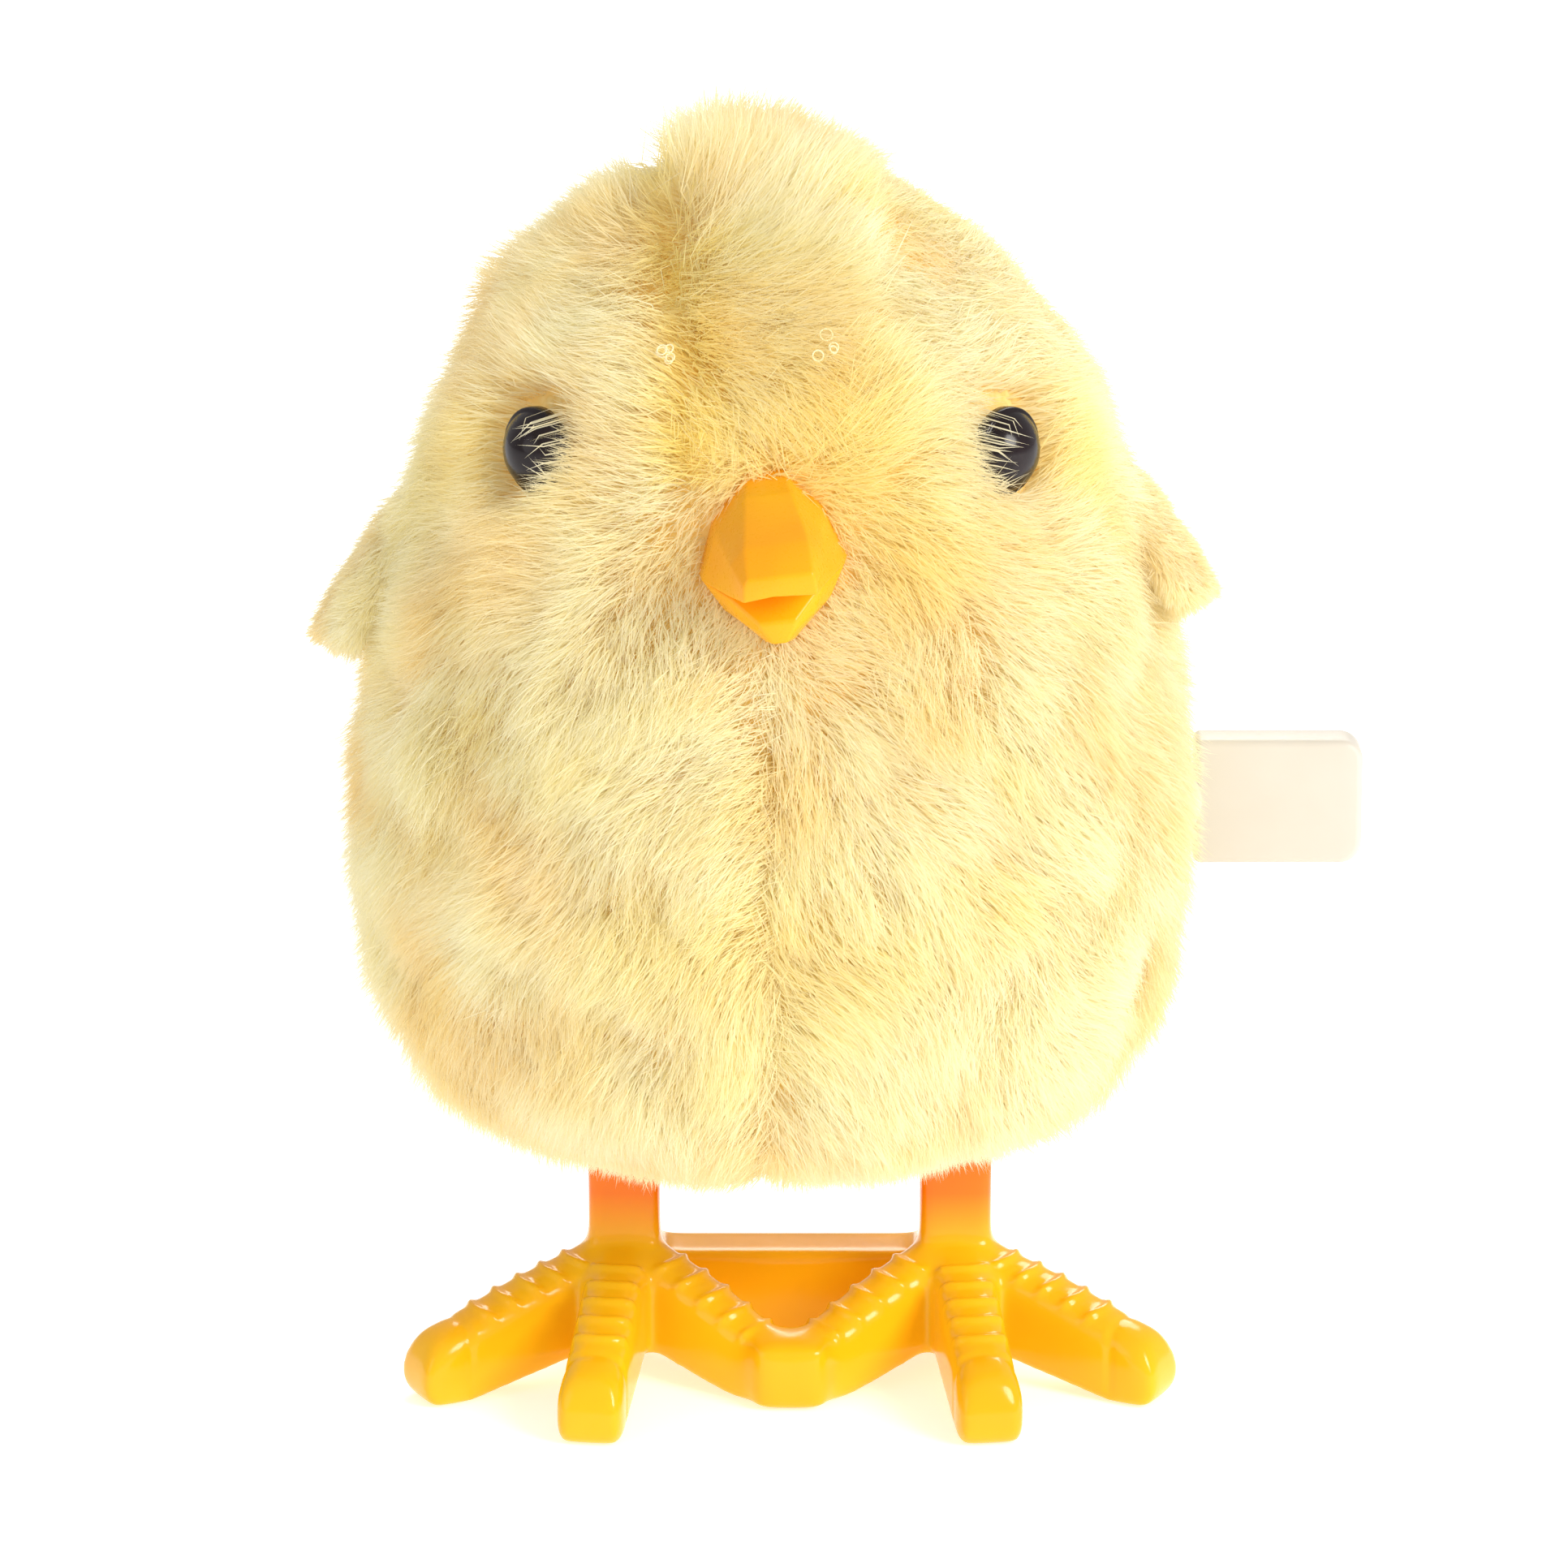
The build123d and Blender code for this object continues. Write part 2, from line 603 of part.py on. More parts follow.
crank_pin = (CRANK_AXIS[0], CRANK_AXIS[1] + CRANK_THROW)
for side, name in ((-1, "crank_disc_left"), (1, "crank_disc_right")):
    with BuildPart() as disc:
        wall = (side * (CASE_HALF_WIDTH - CASE_WALL), side * CASE_HALF_WIDTH)
        rod(*wall, CRANK_AXIS, CRANK_DISC_RADIUS)
        rod(side * (CASE_HALF_WIDTH - 0.3), side * (PLATE_OUTSIDE + 0.4), crank_pin, CRANK_PIN_RADIUS)
        rod(*wall, CRANK_AXIS, CRANK_SHAFT_RADIUS, Mode.SUBTRACT)
    save(disc, name)


# ---- face ----------------------------------------------------------------------------------------


def eye_plane(side):
    """The upright plane through an eye's own axis: its X runs out of the head and its Y runs up."""
    outwards = Vector(side * sin(radians(EYE_SPREAD)), -cos(radians(EYE_SPREAD)), 0)
    edge = Vector(BODY_X, LEG_Y, EYE_Z) + outwards * EYE_REACH
    return Plane(origin=edge, x_dir=outwards, z_dir=outwards.cross(Vector(0, 0, 1)))


dome_radius = (EYE_RADIUS**2 + EYE_DOME**2) / (2 * EYE_DOME)
dome_half_turn = asin(EYE_RADIUS / dome_radius) / 2
eye_dome_point = (
    EYE_DOME - dome_radius * (1 - cos(dome_half_turn)),
    dome_radius * sin(dome_half_turn),
)

eyes = {}
for side, name in ((-1, "eye_left"), (1, "eye_right")):
    # a domed button with a short rim, and the stem that is pressed into the shell
    with BuildPart() as eye:
        with BuildSketch(eye_plane(side)) as profile:
            with BuildLine():
                ThreePointArc((EYE_DOME, 0), eye_dome_point, (0, EYE_RADIUS))
                Polyline(
                    (0, EYE_RADIUS),
                    (-EYE_RIM, EYE_RADIUS),
                    (-EYE_RIM, EYE_STEM_RADIUS),
                    (-EYE_RIM - EYE_STEM_LENGTH, EYE_STEM_RADIUS),
                    (-EYE_RIM - EYE_STEM_LENGTH, 0),
                    (EYE_DOME, 0),
                )
            make_face()
        revolve(axis=Axis(eye_plane(side).origin, eye_plane(side).x_dir))
    save(eye, name)
    eyes[side] = eye.part


def mandible(outline, sections):
    """One half of the beak: its base outline lofted through (distance, scale, drop) sections to the tip."""
    faces = []
    for distance, scale, drop in sections:
        plane = Plane(origin=(BODY_X, LEG_Y - distance, BEAK_Z), x_dir=(1, 0, 0), z_dir=(0, -1, 0))
        with BuildSketch(plane) as section:
            with BuildLine():
                Polyline(*[(x * scale, y * scale - drop) for x, y in outline], close=True)
            make_face()
        faces.append(section.sketch.face())
    return loft(sections=faces, ruled=True, mode=Mode.PRIVATE)


with BuildPart() as beak:
    add(mandible(UPPER_OUTLINE, UPPER_SECTIONS))
    add(mandible(LOWER_OUTLINE, LOWER_SECTIONS))
    with BuildSketch(Plane(origin=(BODY_X, LEG_Y - BEAK_BASE, BEAK_Z), x_dir=(1, 0, 0), z_dir=(0, -1, 0))):
        Circle(1.2)
    extrude(amount=-4.0)
save(beak, "beak")


# ---- body shell under the pile -------------------------------------------------------------------

shell_outside = egg(PILE)
shell_inside = egg(PILE + SHELL_WALL)
pile_outside = egg(0)


def boss_rods(side):
    """Screw bosses of one shell half, still to be trimmed to the shell."""
    start = -LUG_THICKNESS if side < 0 else 0.0
    with BuildPart() as bosses:
        for screw in SHELL_SCREWS[:2]:
            rod(start, side * 25.0, screw, SHELL_BOSS_RADIUS)
        rod(BODY_X, side * 25.0, SHELL_SCREWS[2], SHELL_BOSS_RADIUS)
        add(shell_outside, mode=Mode.INTERSECT)
    return bosses.part


def leg_slot(side):
    """The slot in the belly that one leg swings in."""
    slot_width = SHANK_WIDTH + 2 * LEG_SLOT_MARGIN
    with BuildPart() as slot:
        with BuildSketch(Plane.XY.offset(12.0)):
            with Locations((side * LEG_X, LEG_Y)):
                Rectangle(slot_width, 2 * LEG_SLOT_HALF_LENGTH)
        extrude(amount=16.0)
    return slot.part


def shell_half(side):
    """One half of the hard body shell."""
    with BuildPart() as half:
        add(shell_outside)
        add(shell_inside, mode=Mode.SUBTRACT)
        add(boss_rods(side))
        keep = Keep.BOTTOM if side < 0 else Keep.TOP
        split(bisect_by=across(BODY_X), keep=keep)
        if side < 0:
            for screw in SHELL_SCREWS[:2]:
                rod(-LUG_THICKNESS, 1.0, screw, SHELL_BOSS_RADIUS, Mode.SUBTRACT)
            for screw in SHELL_SCREWS:
                rod(1.0, -20.0, screw, SCREW_RADIUS + 0.1, Mode.SUBTRACT)
                rod(SHELL_SCREW_HEAD_X, -26.0, screw, SCREW_HEAD_RADIUS + 0.1, Mode.SUBTRACT)
        else:
            for screw in SHELL_SCREWS:
                rod(-2.0, SHELL_SCREW_TIP_X + 0.3, screw, SCREW_RADIUS, Mode.SUBTRACT)
            rod(12.0, 30.0, ARBOR_AXIS, KNOB_NECK_RADIUS + 0.4, Mode.SUBTRACT)
        add(leg_slot(side), mode=Mode.SUBTRACT)
        add(eyes[side], mode=Mode.SUBTRACT)
        add(beak.part, mode=Mode.SUBTRACT)
    return half


body_shell_left = shell_half(-1)
save(body_shell_left, "body_shell_left")
body_shell_right = shell_half(1)
save(body_shell_right, "body_shell_right")

with BuildPart() as body_shell_screws:
    for screw in SHELL_SCREWS:
        rod(SHELL_SCREW_HEAD_X - SCREW_HEAD, SHELL_SCREW_HEAD_X, screw, SCREW_HEAD_RADIUS)
        rod(SHELL_SCREW_HEAD_X, SHELL_SCREW_TIP_X, screw, SCREW_RADIUS)
save(body_shell_screws, "body_shell_screws")


# ---- pile fabric ---------------------------------------------------------------------------------

with BuildPart() as gusset_block:
    with BuildSketch(Plane.XY.offset(GUSSET_BOTTOM)):
        with Locations((BODY_X, LEG_Y)):
            Rectangle(2 * GUSSET_HALF_WIDTH, 70.0)
    extrude(amount=30.0)

with BuildPart() as tuft_dome:
    with BuildSketch(Plane.XZ):
        with BuildLine():
            Spline((0, 80.0), (11.0, 82.0), (0, TUFT_TOP), tangents=((1, 0), (-1, 0)))
            Line((0, TUFT_TOP), (0, 80.0))
        make_face()
    revolve(axis=Axis.Z)
tuft_solid = tuft_dome.part.moved(Location((BODY_X, LEG_Y - 2.0, 0)))


with BuildPart() as plush_head_gusset:
    add(pile_outside)
    add(tuft_solid)
    add(gusset_block.part, mode=Mode.INTERSECT)
    add(shell_outside, mode=Mode.SUBTRACT)
save(plush_head_gusset, "plush_head_gusset")

for side, name in ((-1, "plush_left"), (1, "plush_right")):
    with BuildPart() as plush:
        add(pile_outside)
        add(shell_outside, mode=Mode.SUBTRACT)
        split(bisect_by=across(BODY_X), keep=Keep.BOTTOM if side < 0 else Keep.TOP)
        add(gusset_block.part, mode=Mode.SUBTRACT)
        add(leg_slot(side), mode=Mode.SUBTRACT)
        add(eyes[side], mode=Mode.SUBTRACT)
        add(beak.part, mode=Mode.SUBTRACT)
        if side > 0:
            rod(12.0, 40.0, ARBOR_AXIS, KNOB_NECK_RADIUS + 0.7, Mode.SUBTRACT)
    save(plush, name)


# ---- wings ---------------------------------------------------------------------------------------

wing_drop = WING_ROOT[1] - WING_TIP[1]
wing_flare = WING_TIP[0] - WING_ROOT[0]
wing_length = hypot(wing_drop, wing_flare)
for side, name in ((-1, "wing_left"), (1, "wing_right")):
    outwards = Vector(side * wing_drop, 0, wing_flare)
    root = Vector(BODY_X + side * WING_ROOT[0], LEG_Y, WING_ROOT[1])
    flap = Plane(origin=root, x_dir=(0, 1, 0), z_dir=outwards)
    towards_tip = -1 if flap.y_dir.Z > 0 else 1
    with BuildPart() as wing:
        with BuildSketch(flap):
            with BuildLine():
                Spline(
                    (-4.5, 0),
                    (-WING_LENGTH_Y / 2, towards_tip * wing_length * 0.45),
                    (-1.0, towards_tip * wing_length),
                    (WING_LENGTH_Y / 2, towards_tip * wing_length * 0.55),
                    (4.5, 0),
                )
                Line((4.5, 0), (-4.5, 0))
            make_face()
        extrude(amount=WING_THICKNESS / 2, both=True)
    save(wing, name)
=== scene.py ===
# %% [markdown]
# # A wind-up hopping chick
# The real toy is a small clockwork motor on a pair of moulded feet, closed in a hard egg-shaped shell and
# dressed in yellow pile fabric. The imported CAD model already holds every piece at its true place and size,
# so this lesson adds only the looks. Everything is in metres, +Z is up, the chick faces -Y and its winding
# knob points along +X.

# %% Load the frame
import math

import bmesh
import bpy
import numpy as np
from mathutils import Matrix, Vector


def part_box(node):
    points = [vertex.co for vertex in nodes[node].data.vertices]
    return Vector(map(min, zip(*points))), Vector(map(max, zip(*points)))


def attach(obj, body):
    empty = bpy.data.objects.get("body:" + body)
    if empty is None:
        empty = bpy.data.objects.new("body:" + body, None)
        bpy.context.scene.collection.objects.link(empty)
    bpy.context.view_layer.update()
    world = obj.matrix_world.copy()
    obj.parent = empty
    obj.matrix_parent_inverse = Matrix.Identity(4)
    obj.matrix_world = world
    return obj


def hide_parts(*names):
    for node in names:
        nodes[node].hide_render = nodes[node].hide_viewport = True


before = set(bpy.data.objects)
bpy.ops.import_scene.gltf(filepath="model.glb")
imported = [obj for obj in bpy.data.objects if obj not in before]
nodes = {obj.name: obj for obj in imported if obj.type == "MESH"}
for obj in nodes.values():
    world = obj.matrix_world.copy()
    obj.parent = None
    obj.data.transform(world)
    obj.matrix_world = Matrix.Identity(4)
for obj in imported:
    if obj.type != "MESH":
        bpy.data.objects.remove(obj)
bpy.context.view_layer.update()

MM = 0.001
scene = bpy.context.scene
print("pieces in the frame:", len(nodes))


def new_object(name, mesh, material, body):
    """Puts a mesh in the scene as a piece that moves with one body of the frame."""
    piece = bpy.data.objects.new(name, mesh)
    scene.collection.objects.link(piece)
    if material:
        mesh.materials.clear()
        mesh.materials.append(material)
    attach(piece, body)
    return piece


def apply_modifiers(piece):
    """Turns a piece's modifiers into plain mesh, so that what is drawn is what is kept."""
    graph = bpy.context.evaluated_depsgraph_get()
    made = bpy.data.meshes.new_from_object(piece.evaluated_get(graph))
    piece.modifiers.clear()
    piece.data = made


def smooth_faces(mesh):
    mesh.polygons.foreach_set("use_smooth", [True] * len(mesh.polygons))


# %% [markdown]
# Most pieces below are closed shapes that are built face by face in a bmesh, Blender's own workbench for
# meshes. Three helpers start such a shape, end it, and round its edges, so that each piece only has to say
# its own form.

# %% Tools for closed shapes


def shape_of(points, faces):
    """Starts a shape with the given points and faces."""
    shape = bmesh.new()
    corners = [shape.verts.new(p) for p in points]
    for face in faces:
        shape.faces.new([corners[i] for i in face])
    return shape


def mesh_of(name, shape):
    """Ends a shape: turns its faces outwards and keeps it as a mesh."""
    bmesh.ops.recalc_face_normals(shape, faces=shape.faces)
    mesh = bpy.data.meshes.new(name)
    shape.to_mesh(mesh)
    shape.free()
    return mesh


def round_edges(piece, radius, steps, sharper_than):
    """Rounds the edges that turn by more than an angle in degrees."""
    bevel = piece.modifiers.new("edges", "BEVEL")
    bevel.width = radius
    bevel.segments = steps
    bevel.limit_method = "ANGLE"
    bevel.angle_limit = math.radians(sharper_than)
    apply_modifiers(piece)
    smooth_faces(piece.data)
    print(piece.name, len(piece.data.polygons), "faces")


# %% [markdown]
# ## Camera
# The toy is seen from straight ahead and a little above. A long lens keeps the feet and the head at nearly
# one scale. The camera aims between the feet and the tip of the tuft, and its field is a little wider than
# the toy is tall, so that the toy fills about five sixths of it.

# %% Camera
LEG_Y = 7.4 * MM  # the legs stand this far behind the pad of the inner toes
LEG_X = 11.3 * MM
CAMERA_ELEVATION = math.radians(16)
CAMERA_DISTANCE = 0.46
FIELD_HEIGHT = 0.1053  # what the camera covers at the legs
SENSOR = 36.0

aim = Vector((-0.4 * MM, LEG_Y, 41.5 * MM))
towards = Vector((0, math.cos(CAMERA_ELEVATION), -math.sin(CAMERA_ELEVATION)))
camera = bpy.data.objects.new("camera", bpy.data.cameras.new("camera"))
scene.collection.objects.link(camera)
camera.location = aim - towards * CAMERA_DISTANCE
camera.rotation_euler = towards.to_track_quat("-Z", "Y").to_euler()
camera.data.sensor_width = SENSOR
camera.data.lens = SENSOR * CAMERA_DISTANCE / FIELD_HEIGHT
scene.camera = camera
print("lens", round(camera.data.lens), "mm at", CAMERA_DISTANCE, "m")

# %% [markdown]
# ## Light and floor
# The toy is lit like a shop display: a white room, one large soft lamp high on the right, a weak one on the
# left and one behind that catches the tips of the pile. The room looks pure white, but lights the toy with
# less than that, so that the lamps can give it form. The floor glows a little, as a lit table does, which
# keeps the belly from going dark and leaves only faint shadows at the toes.

# %% Light and floor
FLOOR_SIZE = 8.0
ROOM_LIGHT = 0.55
FLOOR_GLOW = 0.5


def soft_lamp(name, place, size, power, colour):
    lamp = bpy.data.lights.new(name, "AREA")
    lamp.shape = "DISK"
    lamp.size = size
    lamp.energy = power
    lamp.color = colour
    piece = bpy.data.objects.new(name, lamp)
    scene.collection.objects.link(piece)
    piece.location = place
    piece.rotation_euler = (aim - Vector(place)).to_track_quat("-Z", "Y").to_euler()
    print(name, power, "W")


soft_lamp("key_lamp", (0.45, -0.42, 0.38), 0.30, 3.3, (1.0, 0.97, 0.91))
soft_lamp("fill_lamp", (-0.5, -0.4, 0.25), 0.40, 0.4, (1.0, 0.98, 0.97))
soft_lamp("rim_lamp", (0.05, 0.5, 0.42), 0.40, 2.0, (1.0, 0.98, 0.95))

room = bpy.data.worlds.new("white_room")
room.use_nodes = True
air = room.node_tree.nodes["Background"]
ray = room.node_tree.nodes.new("ShaderNodeLightPath")
dim = room.node_tree.nodes.new("ShaderNodeMapRange")
dim.inputs["To Min"].default_value = ROOM_LIGHT
dim.inputs["To Max"].default_value = 1.0
room.node_tree.links.new(ray.outputs["Is Camera Ray"], dim.inputs["Value"])
room.node_tree.links.new(dim.outputs["Result"], air.inputs["Strength"])
air.inputs["Color"].default_value = (1.0, 1.0, 1.0, 1.0)
scene.world = room
scene.view_settings.view_transform = "Standard"

floor_mesh = bpy.data.meshes.new("floor")
half = FLOOR_SIZE / 2
floor_corners = [(-half, -half, 0), (half, -half, 0), (half, half, 0), (-half, half, 0)]
floor_mesh.from_pydata(floor_corners, [], [(0, 1, 2, 3)])
floor = bpy.data.objects.new("floor", floor_mesh)
scene.collection.objects.link(floor)

# %% [markdown]
# ## Materials
# Each finish is one Principled shader with a few texture nodes in front of it. A small kit keeps them
# short: one function starts a material, one mixes two colours by a number, and one adds a bump. Numbers
# that are the same all over a surface are typed straight into the shader.


# %% Material kit
class Finish:
    """One material under construction."""

    def __init__(self, name, **settings):
        self.material = bpy.data.materials.new(name)
        self.material.use_nodes = True
        self.tree = self.material.node_tree
        self.shader = self.tree.nodes["Principled BSDF"]
        for socket, value in settings.items():
            self.shader.inputs[socket.replace("_", " ")].default_value = value
        print("finish:", name)

    def node(self, kind, **settings):
        made = self.tree.nodes.new(kind)
        for name, value in settings.items():
            setattr(made, name, value)
        return made

    def link(self, start, end):
        self.tree.links.new(start, end)

    def object_point(self):
        return self.node("ShaderNodeTexCoord").outputs["Object"]

    def number(self, name):
        """A number that the mesh carries at each of its points."""
        return self.node("ShaderNodeAttribute", attribute_name=name).outputs["Fac"]

    def noise(self, scale, detail=4.0, roughness=0.5):
        """Cloudy noise from 0 to 1; scale counts spots to a metre."""
        texture = self.node("ShaderNodeTexNoise")
        texture.inputs["Scale"].default_value = scale
        texture.inputs["Detail"].default_value = detail
        texture.inputs["Roughness"].default_value = roughness
        self.link(self.object_point(), texture.inputs["Vector"])
        return texture.outputs["Fac"]

    def between(self, value, low, high, to_low=0.0, to_high=1.0):
        """Stretches a number from one range to another."""
        stretch = self.node("ShaderNodeMapRange")
        numbers = (low, high, to_low, to_high)
        for socket, number in zip(("From Min", "From Max", "To Min", "To Max"), numbers, strict=True):
            stretch.inputs[socket].default_value = number
        self.link(value, stretch.inputs["Value"])
        return stretch.outputs["Result"]

    def ramp(self, value, stops):
        """A colour for each number, from (position, colour) stops."""
        made = self.node("ShaderNodeValToRGB")
        while len(made.color_ramp.elements) < len(stops):
            made.color_ramp.elements.new(1.0)
        for element, (position, colour) in zip(made.color_ramp.elements, stops, strict=True):
            element.position = position
            element.color = (*colour, 1.0)
        self.link(value, made.inputs["Fac"])
        return made.outputs["Color"]

    def mix(self, share, first, second):
        """Mixes two colours, each a colour or a socket, by a number."""
        made = self.node("ShaderNodeMix", data_type="RGBA")
        self.link(share, made.inputs["Factor"])
        for socket, colour in (("A", first), ("B", second)):
            place = [s for s in made.inputs if s.name == socket and s.type == "RGBA"][0]
            if isinstance(colour, tuple):
                place.default_value = (*colour, 1.0)
            else:
                self.link(colour, place)
        return [s for s in made.outputs if s.type == "RGBA"][0]

    def colour(self, socket):
        self.link(socket, self.shader.inputs["Base Color"])

    def roughness(self, socket):
        self.link(socket, self.shader.inputs["Roughness"])

    def bump(self, height, distance, strength=0.5):
        """Presses a height, from 0 to 1, into the surface; distance is in metres."""
        made = self.node("ShaderNodeBump")
        made.inputs["Strength"].default_value = strength
        made.inputs["Distance"].default_value = distance
        self.link(height, made.inputs["Height"])
        self.link(made.outputs["Normal"], self.shader.inputs["Normal"])


# %% [markdown]
# ### Pile
# A pile fibre is a deep yellow at its root and pale at its tip; the deep root is painted shade, where the
# fibres round it keep the light off. Each fibre of the mesh below carries three numbers: how far along it a
# point is, a tone of its own, and how deep a yolk yellow it is dyed, as on the forehead. A slow noise moves
# whole patches a little deeper. Half of the light passes through a fibre, which is why a real pile has no
# hard shadows, and the light that fibres go on handing to each other is stood in for by a weak glow of the
# pile's own colour.

# %% Pile material
# painted shade: the root end of each fibre is drawn deeper, where the fibres round it keep the light off
ROOT_SHADE_COLOUR = (0.97, 0.79, 0.38)
MIDDLE_COLOUR = (0.96, 0.88, 0.56)
TIP_COLOUR = (0.96, 0.93, 0.73)
PATCH_COLOUR = (0.97, 0.80, 0.42)
CREAM_COLOUR = (0.95, 0.95, 0.84)
YOLK_COLOUR = (1.0, 0.85, 0.26)
PILE_GLOW = 0.115  # light that fibres hand on to each other, deep in the pile
LIGHT_THROUGH = 0.5  # how much of the light passes through a fibre


def pile_finish():
    finish = Finish("yellow_pile", Specular_IOR_Level=0.15, Emission_Strength=PILE_GLOW)
    along, tone, yolk = (finish.number(kind) for kind in ("along", "tone", "yolk"))
    # painted shade at the roots, fading to the pile's own pale colour at the tips
    base = finish.ramp(along, [(0.0, ROOT_SHADE_COLOUR), (0.45, MIDDLE_COLOUR), (1.0, TIP_COLOUR)])
    patches = finish.between(finish.noise(90.0), 0.44, 0.64, 0.0, 0.6)
    patched = finish.mix(patches, base, PATCH_COLOUR)
    paler = finish.mix(finish.between(tone, 0.0, 1.0, 0.0, 0.35), patched, CREAM_COLOUR)
    dyed = finish.mix(yolk, paler, YOLK_COLOUR)
    finish.colour(dyed)
    finish.link(dyed, finish.shader.inputs["Emission Color"])
    finish.roughness(finish.between(tone, 0.0, 1.0, 0.65, 0.85))
    through = finish.node("ShaderNodeBsdfTranslucent")
    finish.link(dyed, through.inputs["Color"])
    both = finish.node("ShaderNodeMixShader")
    both.inputs[0].default_value = LIGHT_THROUGH
    finish.link(finish.shader.outputs[0], both.inputs[1])
    finish.link(through.outputs[0], both.inputs[2])
    finish.link(both.outputs[0], finish.tree.nodes["Material Output"].inputs["Surface"])
    return finish.material


pile_material = pile_finish()

# %% [markdown]
# ### Backing cloth
# Under the pile is a knitted backing in a deeper yellow, partly its own colour and partly painted shade of
# the deep pile. It shows only where the pile parts, at the seams and round the legs, so a fine bump of
# stitches and two close yellows are enough.

# %% Backing material
KNIT_STITCH = 0.6 * MM
# partly the cloth's own yellow, partly painted shade of the deep pile where the backing shows
KNIT_AND_SHADE_YELLOWS = (0.97, 0.74, 0.32), (0.92, 0.62, 0.20)


def backing_finish():
    finish = Finish("knitted_backing", Roughness=0.9, Sheen_Weight=0.3, Specular_IOR_Level=0.2)
    stitch = finish.node("ShaderNodeTexVoronoi")
    stitch.inputs["Scale"].default_value = 1.0 / KNIT_STITCH
    finish.link(finish.object_point(), stitch.inputs["Vector"])
    depth = stitch.outputs["Distance"]
    finish.colour(finish.mix(finish.between(depth, 0.1, 0.7), *KNIT_AND_SHADE_YELLOWS))
    finish.bump(depth, 0.2 * MM, 0.6)
    return finish.material


backing_material = backing_finish()

# %% [markdown]
# ### Thread
# The cover is sewn with cream thread. Its twist shows as a fine slanting wave in the colour.

# %% Thread material
TWISTS_PER_METRE = 3000.0
THREAD_CREAMS = (1.0, 0.88, 0.56), (0.96, 0.76, 0.38)


def thread_finish():
    finish = Finish("cream_thread", Roughness=0.6, Sheen_Weight=0.2)
    twist = finish.node("ShaderNodeTexWave", wave_type="BANDS", bands_direction="DIAGONAL")
    twist.inputs["Scale"].default_value = TWISTS_PER_METRE
    finish.link(finish.object_point(), twist.inputs["Vector"])
    finish.colour(finish.mix(finish.between(twist.outputs["Fac"], 0.2, 0.8), *THREAD_CREAMS))
    return finish.material


thread_material = thread_finish()

# %% [markdown]
# ### Moulded plastic
# The feet and beak are glossy mouldings. The colour is never quite even: it drifts in faint clouds, the legs
# turn redder towards the belly as painted shade where the pile keeps the light off them, and the gloss is
# broken by faint flow marks and fine handling scratches.

# %% Moulded plastic materials
# painted shade: the legs turn to this redder orange towards the belly, where the pile keeps the light off
# them
LEG_SHADE_ORANGE = (0.93, 0.20, 0.004)


def moulded(name, colour, deeper, roughness, shade_above=None, **settings):
    """A plastic finish; shade_above gives two heights in mm between which the colour turns redder: painted
    shade.
    """
    finish = Finish(name, **settings)
    clouds = finish.noise(90.0, 3.0)
    shown = finish.mix(finish.between(clouds, 0.35, 0.7), colour, deeper)
    # painted shade: redder above the given heights, under the pile
    if shade_above:
        height = finish.node("ShaderNodeSeparateXYZ")
        finish.link(finish.object_point(), height.inputs[0])
        low, high = (level * MM for level in shade_above)
        shown = finish.mix(finish.between(height.outputs["Z"], low, high), shown, LEG_SHADE_ORANGE)
    finish.colour(shown)
    specks = finish.noise(2600.0, 5.0, 0.7)
    finish.roughness(finish.between(specks, 0.3, 0.7, roughness * 0.8, roughness * 1.35))
    finish.bump(finish.noise(700.0, 6.0, 0.65), 0.03 * MM, 0.25)
    return finish.material


FEET_ORANGES = (0.95, 0.52, 0.008), (0.94, 0.45, 0.006)
BEAK_ORANGES = (0.95, 0.47, 0.006), (0.94, 0.36, 0.005)
# the painted shade on the legs starts at the ankle tops, 9 mm up, and is full at 13 mm
feet_material = moulded("orange_feet_plastic", *FEET_ORANGES, 0.15, (9.0, 13.0), Specular_IOR_Level=0.32)
beak_material = moulded("orange_beak_plastic", *BEAK_ORANGES, 0.28, Specular_IOR_Level=0.3)
knob_material = moulded("white_knob_plastic", (0.71, 0.67, 0.60), (0.67, 0.62, 0.54), 0.42)
case_material = moulded("cream_case_plastic", (0.80, 0.79, 0.72), (0.74, 0.72, 0.64), 0.45)
gear_material = moulded("natural_gear_plastic", (0.78, 0.75, 0.64), (0.70, 0.66, 0.54), 0.5)
shell_material = moulded("yellow_shell_plastic", (0.85, 0.68, 0.28), (0.80, 0.60, 0.22), 0.5)

# %% [markdown]
# ### Steel
# Shafts, pins and screws are drawn steel with fine rings of polish round them. The mainspring is the same
# steel, tempered blue. The rings come from a wave texture that runs along X, as all the shafts do.

# %% Steel materials


def steel(name, colour, worn, ring_scale, roughness):
    finish = Finish(name, Metallic=1.0)
    rings = finish.node("ShaderNodeTexWave", wave_type="BANDS", bands_direction="X")
    rings.inputs["Scale"].default_value = ring_scale
    rings.inputs["Distortion"].default_value = 1.5
    finish.link(finish.object_point(), rings.inputs["Vector"])
    finish.colour(finish.mix(finish.between(finish.noise(300.0), 0.4, 0.6), colour, worn))
    finish.roughness(finish.between(rings.outputs["Fac"], 0.0, 1.0, roughness * 0.8, roughness * 1.4))
    finish.bump(rings.outputs["Fac"], 0.01 * MM, 0.2)
    return finish.material


steel_material = steel("drawn_steel", (0.62, 0.62, 0.64), (0.52, 0.51, 0.50), 900.0, 0.3)
spring_material = steel("blued_spring_steel", (0.10, 0.13, 0.24), (0.22, 0.20, 0.22), 500.0, 0.35)

# %% [markdown]
# ### Eye black
# The eyes are glassy black buttons with a breath of red. They are smooth enough for a sharp highlight, and
# a very faint dust keeps them from looking like holes.

